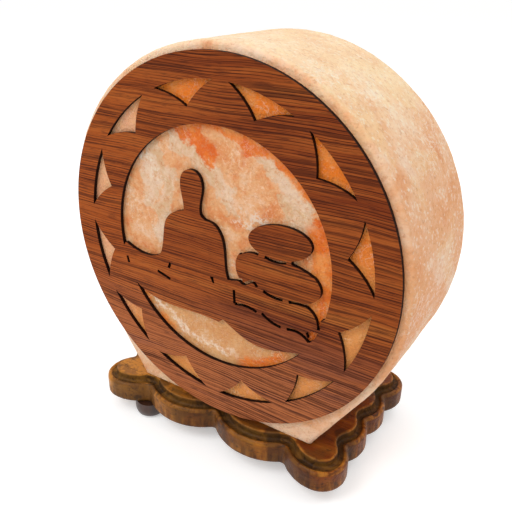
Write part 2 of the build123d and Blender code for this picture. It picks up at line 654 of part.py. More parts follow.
def contact_foot():
    """Flat foot of the centre contact, riveted to the partition."""
    width = 2 * RIVET_HEAD_RADIUS
    foot_plate = Pos(live_rivet_x(), 0, PARTITION_TOP_Z) * Box(
        width, TONGUE_WIDTH, TONGUE_THICKNESS, align=(Align.CENTER, Align.CENTER, Align.MIN))
    top = PARTITION_TOP_Z + TONGUE_THICKNESS + OVERRUN
    hole = rod(RIVET_RADIUS + FIXING_CLEARANCE / 2, PARTITION_TOP_Z - OVERRUN, top)
    return on_holder_axis(foot_plate - Pos(live_rivet_x(), 0, 0) * hole)


def tongue_root():
    """Fold line (x, z) of the contact tongue, at the inner end of its foot."""
    x = live_rivet_x() - RIVET_HEAD_RADIUS - CLIP_ROOT_GAP
    return x, PARTITION_TOP_Z + TONGUE_THICKNESS / 2


def contact_tongue():
    """Springy tongue that rises from its fold to just under the bulb's contact."""
    root_x, root_z = tongue_root()
    tip_x = -CONTACT_RADIUS
    tip_z = CONTACT_Z - TONGUE_PRESS - TONGUE_THICKNESS
    length = hypot(root_x - tip_x, tip_z - root_z)
    angle = degrees(atan2(tip_z - root_z, root_x - tip_x))
    strip = Box(length, TONGUE_WIDTH, TONGUE_THICKNESS, align=(Align.MAX, Align.CENTER, Align.MIN))
    return on_holder_axis(Pos(root_x, 0, root_z - TONGUE_THICKNESS / 2) * Rot(0, angle, 0) * strip)


def clip_band_top():
    return HOLDER_Z + CLIP_BAND_LIFT + CLIP_BAND_HEIGHT


def wing_root_x():
    """Distance from the axis to the fold line of a wing, just outside the lug."""
    return CAP_RADIUS + FIXING_CLEARANCE / 2 + CLIP_BAND_THICKNESS + CLIP_LUG_REACH


def wing_root_z():
    return clip_band_top() - CLIP_BAND_THICKNESS / 2


def wing_angle():
    """Lean of a wing from the vertical, so that its lower end just clears the bore's wall."""
    half_width = CLIP_WING_WIDTH / 2
    wall_x = (BORE_RADIUS**2 - half_width**2) ** 0.5
    reach = wall_x - CLIP_WALL_GAP - CLIP_WING_THICKNESS - wing_root_x() - CLIP_ROOT_GAP
    return degrees(atan2(reach, CLIP_WING_LENGTH))


def clip_band():
    """Sheet-metal band round the cap with a lug on each side."""
    inner = CAP_RADIUS + FIXING_CLEARANCE / 2
    low = HOLDER_Z + CLIP_BAND_LIFT
    band = ring(inner + CLIP_BAND_THICKNESS, inner, low, clip_band_top())
    lug_z = clip_band_top() - CLIP_BAND_THICKNESS
    lugs = Pos(0, 0, lug_z) * Box(
        2 * wing_root_x(), CLIP_LUG_WIDTH, CLIP_BAND_THICKNESS,
        align=(Align.CENTER, Align.CENTER, Align.MIN))
    band += lugs - rod(inner + CLIP_BAND_THICKNESS / 2, low, clip_band_top() + OVERRUN)
    return on_holder_axis(band)


def clip_wing(side):
    """Leaf that hangs from its lug and leans out to the bore's wall."""
    leaf = Box(CLIP_WING_THICKNESS, CLIP_WING_WIDTH, CLIP_WING_LENGTH,
               align=(Align.MIN, Align.CENTER, Align.MAX))
    placed = Pos(wing_root_x() + CLIP_ROOT_GAP, 0, clip_band_top()) * Rot(0, -wing_angle(), 0) * leaf
    if side < 0:
        placed = mirror(placed, Plane.YZ)
    return on_holder_axis(placed)


# ---- bulb -----------------------------------------------------------------------------------
def bulb_contact():
    button = rod(CONTACT_RADIUS, CONTACT_Z, INSULATOR_Z)
    return on_holder_axis(fillet(button.faces().sort_by(Axis.Z)[0].edges(), CONTACT_ROUNDING))


def bulb_insulator():
    """Black glass cone between the contact and the threaded cap."""
    top = BULB_CAP_RADIUS - BULB_CAP_WALL - FIXING_CLEARANCE
    skirt_z = CAP_BOTTOM_Z + INSULATOR_SKIRT
    cone = [(0, INSULATOR_Z), (INSULATOR_TIP_RADIUS, INSULATOR_Z), (top, CAP_BOTTOM_Z),
            (top, skirt_z), (0, skirt_z)]
    return on_holder_axis(turned(cone))


def bulb_cap():
    inner = BULB_CAP_RADIUS - BULB_CAP_WALL
    return on_holder_axis(ring(BULB_CAP_RADIUS, inner, CAP_BOTTOM_Z, GLASS_FOOT_Z))


def glass_section(inset):
    """Half section of the envelope, drawn inwards by inset: neck, shoulder, barrel and dome."""
    neck = BULB_CAP_RADIUS - BULB_CAP_WALL - FIXING_CLEARANCE - inset
    barrel = GLASS_RADIUS - inset
    shoulder_z = GLASS_FOOT_Z + GLASS_SHOULDER_HEIGHT
    dome_z = shoulder_z + GLASS_BARREL_HEIGHT
    low = GLASS_FOOT_Z - GLASS_NECK_LENGTH
    neck_z = GLASS_FOOT_Z + GLASS_NECK_RISE
    diagonal = barrel * cos(pi / 4)
    stretches = [
        Line((0, low), (neck, low)),
        Line((neck, low), (neck, neck_z)),
        Spline((neck, neck_z), (barrel, shoulder_z), tangents=((0, 1), (0, 1))),
        Line((barrel, shoulder_z), (barrel, dome_z)),
        ThreePointArc((barrel, dome_z), (diagonal, dome_z + diagonal), (0, dome_z + barrel)),
        Line((0, dome_z + barrel), (0, low)),
    ]
    return make_face(stretches)


def bulb_glass():
    outer = revolve(Plane.XZ * glass_section(0), Axis.Z, 360)
    inner = revolve(Plane.XZ * glass_section(GLASS_WALL), Axis.Z, 360)
    return on_holder_axis(outer - inner)


def stem_top():
    return GLASS_FOOT_Z - GLASS_NECK_LENGTH + STEM_HEIGHT


def bulb_stem():
    """Glass mount: a flare that closes the neck and a rod that carries the leads."""
    neck = BULB_CAP_RADIUS - BULB_CAP_WALL - 2 * FIXING_CLEARANCE - GLASS_WALL
    low = GLASS_FOOT_Z - GLASS_NECK_LENGTH
    flare = [(0, low), (neck, low), (neck, low + STEM_RIM), (STEM_RADIUS, low + STEM_FLARE_HEIGHT),
             (STEM_RADIUS, stem_top()), (0, stem_top())]
    return on_holder_axis(turned(flare))


def bulb_leads():
    """Two wires that rise from the stem and spread to the ends of the filament."""
    top = stem_top()
    leads = []
    for side in (-1, 1):
        start = (side * STEM_RADIUS / 2, 0, top)
        bend = (side * STEM_RADIUS / 2, 0, top + LEAD_STRAIGHT)
        end = (side * LEAD_SPREAD, 0, top + LEAD_RISE)
        path = Polyline(start, bend, end)
        section = Plane(origin=start, z_dir=(0, 0, 1)) * Circle(LEAD_RADIUS)
        leads.append(on_holder_axis(sweep(section, path=path, transition=Transition.ROUND)))
    return leads


def bulb_filament():
    """Filament as one bowed wire between the ends of the leads."""
    top = stem_top() + LEAD_RISE + LEAD_RADIUS + FILAMENT_RADIUS
    arc = ThreePointArc((-LEAD_SPREAD, 0, top), (0, 0, top + FILAMENT_BOW), (LEAD_SPREAD, 0, top))
    section = Plane(origin=arc @ 0, z_dir=arc % 0) * Circle(FILAMENT_RADIUS)
    return on_holder_axis(sweep(section, path=arc))


# ---- cord gland -----------------------------------------------------------------------------
def cord_gland():
    """Rubber bush in the back edge of the stand, for a round cord."""
    seat = Plane(origin=(STAND_X, gland_seat_y(), GLAND_Z), x_dir=(1, 0, 0), z_dir=(0, 1, 0))
    flange = seat * extrude(Circle(GLAND_FLANGE_RADIUS), GLAND_FLANGE_THICKNESS)
    body = seat * extrude(Circle(GLAND_HOLE_RADIUS), GLAND_FLANGE_THICKNESS - GLAND_LENGTH)
    start = seat.offset(GLAND_FLANGE_THICKNESS - GLAND_LENGTH - OVERRUN)
    bore = start * extrude(Circle(GLAND_BORE_RADIUS), GLAND_LENGTH + 2 * OVERRUN)
    return flange + body - bore


def write(node, shape):
    """Writes one node. A list of separate solids goes in as one group."""
    solid = Compound(shape) if isinstance(shape, list) else shape
    export_step(solid, os.path.join("parts", node + ".step"))


def main():
    os.makedirs("parts", exist_ok=True)
    one_foot = at_each_foot(foot())
    write("salt_block", salt_block())
    write("fretwork_panel", fretwork_panel())
    write("adhesive_pads", adhesive_pads())
    write("base_board", base_board())
    write("foot_front_left", one_foot[0])
    write("foot_front_right", one_foot[1])
    write("foot_back_left", one_foot[2])
    write("foot_back_right", one_foot[3])
    write("foot_screws", at_each_foot(foot_screw()))
    write("foot_pads", at_each_foot(foot_pad()))
    write("salt_screws", at_each_salt_screw(salt_screw()))
    write("wall_plugs", at_each_salt_screw(wall_plug()))
    write("cord_gland", cord_gland())
    write("holder_cap", holder_cap())
    write("holder_sleeve", holder_sleeve())
    write("threaded_shell", threaded_shell())
    write("live_terminal", terminal(1))
    write("neutral_terminal", terminal(-1))
    write("terminal_screws", terminal_screws())
    write("contact_rivets", contact_rivets())
    write("contact_foot", contact_foot())
    write("contact_tongue", contact_tongue())
    write("clip_band", clip_band())
    write("clip_wing_left", clip_wing(-1))
    write("clip_wing_right", clip_wing(1))
    write("bulb_contact", bulb_contact())
    write("bulb_insulator", bulb_insulator())
    write("bulb_cap", bulb_cap())
    write("bulb_glass", bulb_glass())
    write("bulb_stem", bulb_stem())
    write("bulb_leads", bulb_leads())
    write("bulb_filament", bulb_filament())


main()
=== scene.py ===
import math

import bpy
import numpy as np
from mathutils import Matrix, Vector, kdtree, noise


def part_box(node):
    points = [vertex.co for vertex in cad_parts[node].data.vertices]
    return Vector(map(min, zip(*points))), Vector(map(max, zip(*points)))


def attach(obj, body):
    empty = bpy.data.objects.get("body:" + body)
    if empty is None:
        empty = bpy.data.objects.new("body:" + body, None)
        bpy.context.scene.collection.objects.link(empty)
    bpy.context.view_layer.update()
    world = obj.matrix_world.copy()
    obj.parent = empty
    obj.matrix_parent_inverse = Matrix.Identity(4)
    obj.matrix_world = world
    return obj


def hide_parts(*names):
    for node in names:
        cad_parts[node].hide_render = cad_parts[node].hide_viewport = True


# Looks of a salt crystal lamp: a worn drum of rock salt on a carved, stained stand, with a round
# fretwork panel of veneered board, and the lampholder and bulb in the bore. Metres.

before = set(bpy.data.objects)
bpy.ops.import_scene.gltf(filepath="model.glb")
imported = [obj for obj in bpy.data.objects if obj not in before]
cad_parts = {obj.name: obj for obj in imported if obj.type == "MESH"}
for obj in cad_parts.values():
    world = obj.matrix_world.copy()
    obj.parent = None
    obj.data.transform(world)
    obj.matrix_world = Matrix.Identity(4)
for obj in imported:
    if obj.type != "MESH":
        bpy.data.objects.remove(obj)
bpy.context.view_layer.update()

MM = 0.001

# ---- camera: the photograph's viewpoint ----
CAMERA_PLACE = Vector((0.142455, -0.22769, 0.21513))
CAMERA_RIGHT = Vector((0.83908, 0.54382, 0.01411))
CAMERA_UP = Vector((-0.24183, 0.34964, 0.90514))
SENSOR_WIDTH = 36.0
LENS = 43.50
CLIP_START = 0.01

# ---- places that come from the frame ----
SALT_LOW, SALT_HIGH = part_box("salt_block")
BOARD_LOW, BOARD_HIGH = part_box("base_board")
PANEL_LOW, PANEL_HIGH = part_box("fretwork_panel")
CAP_LOW, CAP_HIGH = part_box("bulb_cap")
SHELL_LOW, SHELL_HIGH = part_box("threaded_shell")
GLASS_LOW, GLASS_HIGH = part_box("bulb_glass")

PANEL_CENTRE = (PANEL_LOW + PANEL_HIGH) / 2
PANEL_RADIUS = (PANEL_HIGH.x - PANEL_LOW.x) / 2
AXIS_X = (GLASS_LOW.x + GLASS_HIGH.x) / 2
AXIS_Y = (GLASS_LOW.y + GLASS_HIGH.y) / 2


def srgb(red, green, blue):
    """Linear colour from the 0 to 255 numbers of a screen colour."""
    out = []
    for value in (red, green, blue):
        share = value / 255
        out.append(share / 12.92 if share <= 0.04045 else ((share + 0.055) / 1.055) ** 2.4)
    return (*out, 1.0)


# ---- material builder ----
class Paint:
    """A material on one Principled shader, with short calls for the nodes that feed it."""

    def __init__(self, name, **fixed):
        self.material = bpy.data.materials.new(name)
        self.material.use_nodes = True
        self.tree = self.material.node_tree
        self.tree.nodes.clear()
        self.shader = self.tree.nodes.new("ShaderNodeBsdfPrincipled")
        output = self.tree.nodes.new("ShaderNodeOutputMaterial")
        self.tree.links.new(self.shader.outputs["BSDF"], output.inputs["Surface"])
        for socket, value in fixed.items():
            self.shader.inputs[socket.replace("_", " ")].default_value = value
        self.place = self.tree.nodes.new("ShaderNodeTexCoord").outputs["Object"]

    def feed(self, socket, value):
        """Links a socket, or sets it if the value is a number, a colour or a vector."""
        if isinstance(value, bpy.types.NodeSocket):
            self.tree.links.new(value, socket)
        else:
            socket.default_value = value

    def node(self, kind, inputs, output=0, **settings):
        made = self.tree.nodes.new(kind)
        for name, value in settings.items():
            setattr(made, name, value)
        for name, value in inputs.items():
            self.feed(made.inputs[name], value)
        return made.outputs[output]

    def stretched(self, scale, turn=(0, 0, 0)):
        """The object's own coordinates, scaled and turned."""
        return self.node("ShaderNodeMapping", {
            "Vector": self.place, "Scale": scale, "Rotation": turn})

    def cloud(self, vector, scale, detail=4.0, roughness=0.55, distortion=0.0):
        return self.node("ShaderNodeTexNoise", {
            "Vector": vector, "Scale": scale, "Detail": detail, "Roughness": roughness,
            "Distortion": distortion})

    def maths(self, operation, a, b=0.0):
        return self.node("ShaderNodeMath", {0: a, 1: b}, operation=operation)

    def plus(self, a, b):
        return self.maths("ADD", a, b)

    def minus(self, a, b):
        return self.maths("SUBTRACT", a, b)

    def times(self, a, b):
        return self.maths("MULTIPLY", a, b)

    def most(self, a, b):
        return self.maths("MAXIMUM", a, b)

    def swing(self, noise_value, reach):
        """Noise, which lies about 0.5, moved to lie about 0 and scaled."""
        return self.times(self.minus(noise_value, 0.5), reach)

    def length(self, a, b):
        """Length of a flat vector from its two components."""
        return self.maths("SQRT", self.plus(self.times(a, a), self.times(b, b)))

    def steps(self, value, low, high, to_low=0.0, to_high=1.0):
        """Smooth step from to_low to to_high as value goes from low to high."""
        return self.node("ShaderNodeMapRange", {
            "Value": value, "From Min": low, "From Max": high, "To Min": to_low,
            "To Max": to_high}, interpolation_type="SMOOTHSTEP")

    def ramp(self, value, stops):
        made = self.tree.nodes.new("ShaderNodeValToRGB")
        ends = made.color_ramp.elements
        while len(ends) < len(stops):
            ends.new(0.5)
        for end, (place, colour) in zip(ends, stops):
            end.position = place
            end.color = colour
        self.feed(made.inputs["Fac"], value)
        return made.outputs["Color"]

    def mix(self, share, first, second):
        """The first colour with a share of the second; a Mix node's colours are 6 and 7."""
        made = self.tree.nodes.new("ShaderNodeMix")
        made.data_type = "RGBA"
        self.feed(made.inputs[0], share)
        self.feed(made.inputs[6], first)
        self.feed(made.inputs[7], second)
        return made.outputs[2]

    def split(self, vector):
        """The three components of a vector."""
        made = self.tree.nodes.new("ShaderNodeSeparateXYZ")
        self.feed(made.inputs[0], vector)
        return made.outputs

    def axes(self):
        return self.split(self.place)

    def facing(self):
        """Components of the surface's direction in the object's own axes."""
        coords = self.tree.nodes.new("ShaderNodeTexCoord")
        return self.split(coords.outputs["Normal"])

    def attribute(self, name):
        return self.node("ShaderNodeAttribute", {}, "Fac", attribute_name=name)

    def colour(self, value):
        self.feed(self.shader.inputs["Base Color"], value)

    def rough(self, value):
        self.feed(self.shader.inputs["Roughness"], value)

    def relief(self, height, depth, strength=1.0):
        """Fine bumps from a height of about 0 to 1, depth metres deep."""
        bump = self.node("ShaderNodeBump", {
            "Height": height, "Distance": depth, "Strength": strength})
        self.feed(self.shader.inputs["Normal"], bump)


# ---- mesh helpers ----
def add_object(name, verts, faces, smooth=True):
    mesh = bpy.data.meshes.new(name)
    mesh.from_pydata([tuple(v) for v in verts], [], faces)
    mesh.validate()
    mesh.polygons.foreach_set("use_smooth", [smooth] * len(mesh.polygons))
    obj = bpy.data.objects.new(name, mesh)
    bpy.context.scene.collection.objects.link(obj)
    return obj


def applied(obj):
    """Bakes the object's modifiers into its mesh."""
    graph = bpy.context.evaluated_depsgraph_get()
    mesh = bpy.data.meshes.new_from_object(obj.evaluated_get(graph))
    obj.modifiers.clear()
    obj.data = mesh
    mesh.polygons.foreach_set("use_smooth", [True] * len(mesh.polygons))
    return obj


def skin_of(node, name, voxel):
    """New object with an even skin of small quads over a CAD node's solid."""
    obj = bpy.data.objects.new(name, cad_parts[node].data.copy())
    bpy.context.scene.collection.objects.link(obj)
    obj.data.materials.clear()
    cover = obj.modifiers.new("cover", "REMESH")
    cover.mode = "VOXEL"
    cover.voxel_size = voxel
    cover.adaptivity = 0.0
    return applied(obj)


def points_of(obj):
    count = len(obj.data.vertices)
    co = np.empty(count * 3)
    obj.data.vertices.foreach_get("co", co)
    normal = np.empty(count * 3)
    obj.data.vertices.foreach_get("normal", normal)
    return co.reshape(-1, 3), normal.reshape(-1, 3)


def set_points(obj, co):
    obj.data.vertices.foreach_set("co", co.ravel())
    obj.data.update()


def eased(mesh, values, rounds):
    """Values of the points, averaged with their neighbours a few times."""
    ends = np.empty(len(mesh.edges) * 2, int)
    mesh.edges.foreach_get("vertices", ends)
    a, b = ends.reshape(-1, 2).T
    count = np.bincount(a, minlength=len(values)) + np.bincount(b, minlength=len(values))
    for _ in range(rounds):
        total = np.zeros_like(values)
        for axis in range(values.shape[1]):
            total[:, axis] = np.bincount(a, values[b, axis], len(values))
            total[:, axis] += np.bincount(b, values[a, axis], len(values))
        values = 0.5 * values + 0.5 * total / count[:, None]
    return values


def dress(obj, body, paint):
    """Gives a piece its material, body and material slot."""
    obj.data.materials.clear()
    obj.data.materials.append(paint.material)
    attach(obj, body)
    return obj


def cover_node(node, paint):
    """Gives a CAD node its material."""
    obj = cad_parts[node]
    for place in obj.material_slots:
        place.link = "OBJECT"
        place.material = paint.material


# ---- materials ----
def toward(paint, off_x, off_z, radius, degrees):
    """Cosine of the angle between a point's direction from the panel's centre and a given one."""
    turn = math.radians(degrees)
    along = paint.plus(paint.times(off_x, math.cos(turn)), paint.times(off_z, math.sin(turn)))
    return paint.maths("DIVIDE", along, paint.most(radius, 1.0 * MM))


# Sizes of the salt's noise, in features a metre.
WIDE_SCALE = 26.0
CROWD_SCALE = 38.0
YELLOW_SCALE = 48.0
MIDDLE_SCALE = 90.0
VEIN_SCALE = 120.0
VEINED_SCALE = 34.0
FINE_SCALE = 420.0
FLAKE_SCALE = 950.0
BUMP_SCALE = 1100.0
SALT_BUMPS = 0.7 * MM

# Directions on the front face in degrees from the panel's centre: 0 is right and 90 is up.
TAWNY_SIDE = -30.0
SPOTTED_SIDE = 58.0
# The rays on this side are lightened with painted light.
STREAK_SIDE = -118.0
LIT_RAYS_SIDE = 172.0

# Where a mark fades, from one distance to another.
SAWN_DEPTH = (SALT_LOW.y + 1.0 * MM, SALT_LOW.y + 2.5 * MM)
EDGE_DEPTH = (SALT_LOW.y + 3.0 * MM, SALT_LOW.y + 13.0 * MM)
COVERED_RADIUS = (PANEL_RADIUS - 3.0 * MM, PANEL_RADIUS + 1.0 * MM)
RAYS_RADIUS = (57.5 * MM, 60.0 * MM)
STREAK_RADIUS = 49.0 * MM
STREAK_WIDTH = (0.5 * MM, 3.0 * MM)
TAN_HEIGHT = (-20.0 * MM, -34.0 * MM)
LOW_RAYS_HEIGHT = (25.0 * MM, -10.0 * MM)


def salt_paint():
    """Mottled rock salt: peach and milky pink, with deep orange patches and white crystals, and
    painted light on faces that point up.
    """
    paint = Paint("rock_salt", Subsurface_Weight=0.12, Subsurface_Scale=3.0 * MM,
                  Specular_IOR_Level=0.3)
    paint.shader.inputs["Subsurface Radius"].default_value = (1.0, 0.45, 0.25)
    x, y, z = paint.axes()
    wide = paint.cloud(paint.place, WIDE_SCALE, detail=5.0, roughness=0.6, distortion=0.6)
    middle = paint.cloud(paint.place, MIDDLE_SCALE, detail=6.0, roughness=0.68, distortion=0.4)
    fine = paint.cloud(paint.place, FINE_SCALE, detail=5.0, roughness=0.72)
    mottle = paint.plus(paint.times(wide, 0.5), paint.times(middle, 0.5))
    skin = paint.ramp(mottle, [
        (0.39, srgb(232, 158, 106)), (0.46, srgb(243, 188, 142)),
        (0.53, srgb(248, 208, 172)), (0.61, srgb(253, 228, 204))])
    yellow = paint.steps(paint.cloud(paint.place, YELLOW_SCALE, detail=3.0), 0.50, 0.62)
    skin = paint.mix(paint.times(yellow, 0.35), skin, srgb(250, 212, 150))
    off_x = paint.minus(x, PANEL_CENTRE.x)
    off_z = paint.minus(z, PANEL_CENTRE.z)
    radius = paint.length(off_x, off_z)
    flake = paint.node("ShaderNodeTexVoronoi", {
        "Vector": flake_place(paint), "Scale": FLAKE_SCALE}, 1)
    flake = paint.node("ShaderNodeSeparateColor", {"Color": flake})
    sawn = sawn_face(paint, off_x, off_z, radius, mottle, middle, fine)
    front = paint.steps(y, *SAWN_DEPTH, 1.0, 0.0)
    within = paint.steps(radius, *COVERED_RADIUS, 1.0, 0.0)
    tawny = paint.steps(toward(paint, off_x, off_z, radius, TAWNY_SIDE), 0.20, 0.95, 0.0, 0.78)
    tawny = paint.times(tawny, paint.steps(wide, 0.62, 0.46, 0.45, 1.0))
    skin = paint.mix(tawny, skin, srgb(236, 158, 96))
    near_edge = paint.steps(y, *EDGE_DEPTH, 1.0, 0.0)
    top_right = paint.steps(toward(paint, off_x, off_z, radius, SPOTTED_SIDE), 0.93, 0.99)
    spots = paint.steps(middle, 0.50, 0.60, 0.0, 0.65)
    spots = paint.times(paint.times(spots, top_right), near_edge)
    skin = paint.mix(spots, skin, srgb(240, 160, 98))
    # Painted light: faces that point up are lightened, as if lit from above.
    painted_top_light = paint.steps(paint.facing()[2], 0.50, 0.95, 0.0, 0.55)
    skin = paint.mix(painted_top_light, skin, srgb(255, 230, 184))
    lip = paint.times(front, paint.minus(1.0, within))
    pale = paint.steps(wide, 0.42, 0.58, 0.12, 0.50)
    skin = paint.mix(paint.times(lip, pale), skin, srgb(253, 216, 184))
    base = paint.mix(paint.times(front, within), skin, sawn)
    crystals = paint.steps(fine, 0.57, 0.64)
    crowd = paint.cloud(paint.place, CROWD_SCALE, detail=3.0, roughness=0.6)
    crowd = paint.steps(crowd, 0.46, 0.62, 0.08, 0.65)
    crowd = paint.times(crowd, paint.minus(1.0, paint.times(front, 0.75)))
    base = paint.mix(paint.times(crystals, crowd), base, srgb(253, 240, 218))
    veins = paint.cloud(paint.place, VEIN_SCALE, detail=6.0, roughness=0.7, distortion=0.9)
    veins = paint.maths("ABSOLUTE", paint.minus(veins, 0.5))
    veins = paint.steps(veins, 0.004, 0.016, 1.0, 0.0)
    veined = paint.cloud(paint.place, VEINED_SCALE, detail=3.0)
    veined = paint.steps(veined, 0.50, 0.60, 0.0, 0.75)
    veined = paint.times(veined, paint.minus(1.0, paint.times(front, 0.6)))
    base = paint.mix(paint.times(veins, veined), base, srgb(255, 242, 224))
    pits = paint.steps(fine, 0.43, 0.35)
    base = paint.mix(paint.times(pits, 0.45), base, srgb(206, 132, 82))
    loose = paint.minus(1.0, paint.times(front, 0.85))
    bright = paint.times(paint.steps(flake, 0.84, 0.98, 0.0, 0.42), loose)
    base = paint.mix(bright, base, srgb(254, 240, 220))
    base = paint.mix(paint.steps(flake, 0.30, 0.05, 0.0, 0.16), base, srgb(204, 134, 88))
    paint.colour(base)
    paint.rough(paint.steps(flake, 0.1, 0.9, 0.62, 0.40))
    bumps = paint.cloud(paint.place, BUMP_SCALE, detail=3.0, roughness=0.6)
    bumps = paint.plus(paint.plus(fine, bumps), paint.times(flake, 0.25))
    paint.relief(bumps, SALT_BUMPS)
    return paint


RAGGED_SCALE = 900.0
RAGGED_REACH = 1.4 * MM


def flake_place(paint):
    """Coordinates bent by fine noise, so that crystal flakes have ragged outlines."""
    bend = paint.node("ShaderNodeTexNoise", {
        "Vector": paint.place, "Scale": RAGGED_SCALE, "Detail": 3.0}, 1)
    bend = paint.node("ShaderNodeVectorMath", {0: bend, 1: (RAGGED_REACH,) * 3},
                      operation="MULTIPLY")
    return paint.node("ShaderNodeVectorMath", {0: paint.place, 1: bend}, operation="ADD")


# Marks on the front face in the picture's window, in millimetres from the panel's centre: where a
# band starts and ends, and half its width.
MILK_BANDS = [
    ((-20.0, 44.0), (-6.0, 37.0), 5.6),
    ((-6.0, 37.0), (4.0, 28.0), 5.0),
    ((4.0, 28.0), (7.0, 20.0), 3.4),
    ((-33.0, 37.0), (-37.5, 15.6), 5.0),
    ((20.0, 44.0), (33.0, 32.0), 3.4),
    ((33.0, 32.0), (42.0, 18.0), 5.0),
    ((-25.5, 30.0), (-31.0, 1.0), 3.6),
]
GRIT_BANDS = [
    ((7.0, 24.5), (25.5, 18.0), 1.6),
    ((10.5, 14.4), (20.0, 20.5), 1.8),
    ((-39.0, 33.0), (-33.0, 28.0), 2.4),
]
DEEP_BANDS = [
    ((-19.0, 51.5), (-15.5, 45.5), 2.6),
    ((-11.0, 50.0), (-6.0, 42.0), 4.2),
    ((-6.0, 42.0), (-4.0, 38.5), 3.0),
    ((4.0, 55.0), (22.0, 49.5), 5.6),
    ((22.0, 49.5), (37.0, 39.0), 4.6),
    ((37.0, 39.0), (47.0, 26.5), 3.0),
]


def near_band(paint, off_x, off_z, wobble, band, softness):
    """1 on a straight band of the front face and 0 beside it, with a wobbly outline."""
    (start_x, start_z), (end_x, end_z), half = band
    run = Vector((end_x - start_x, end_z - start_z)) * MM
    length = run.length
    run = run / length
    from_x = paint.minus(off_x, start_x * MM)
    from_z = paint.minus(off_z, start_z * MM)
    along = paint.plus(paint.times(from_x, run.x), paint.times(from_z, run.y))
    aside = paint.minus(paint.times(from_z, run.x), paint.times(from_x, run.y))
    beyond = paint.minus(along, length)
    before = paint.times(along, -1.0)
    past = paint.most(paint.most(before, beyond), 0.0)
    reach = paint.plus(paint.length(past, aside), wobble)
    return paint.steps(reach, (half - softness) * MM, (half + softness) * MM, 1.0, 0.0)


def all_bands(paint, off_x, off_z, wobble, bands, softness):
    """1 on any of the bands and 0 beside them all."""
    share = 0.0
    for band in bands:
        share = paint.most(share, near_band(paint, off_x, off_z, wobble, band, softness))
    return share


# Deep orange patches on the front face: direction from the panel's centre in degrees, the cosine
# at which the patch fades out and is full, and the radius from which it starts, in metres.
ORANGE_PATCHES = [
    (4.0, 0.90, 0.95, 0.0445),
    (-25.0, 0.96, 0.99, 0.0440),
    (-140.0, 0.90, 0.96, 0.0525),
    (-63.0, 0.95, 0.985, 0.0490),
    (100.0, 0.955, 0.985, 0.0515),
]
PATCH_SOFTNESS = 2.5 * MM

# Noise that bends and breaks up the marks: features a metre, and how far it moves an outline.
SWIRL_SCALE = 70.0
SWIRL_REACH = 20.0 * MM
WOBBLE_REACH = 16.0 * MM
FACET_SCALE = 520.0
CLUMP_SCALE = 65.0


def rim_patch(paint, off_x, off_z, radius, wavy, degrees, faint, full, start):
    """1 on a patch of the window's rim and 0 beside it."""
    aligned = paint.steps(toward(paint, off_x, off_z, radius, degrees), faint, full)
    beyond = paint.steps(wavy, start, start + PATCH_SOFTNESS)
    return paint.times(aligned, beyond)


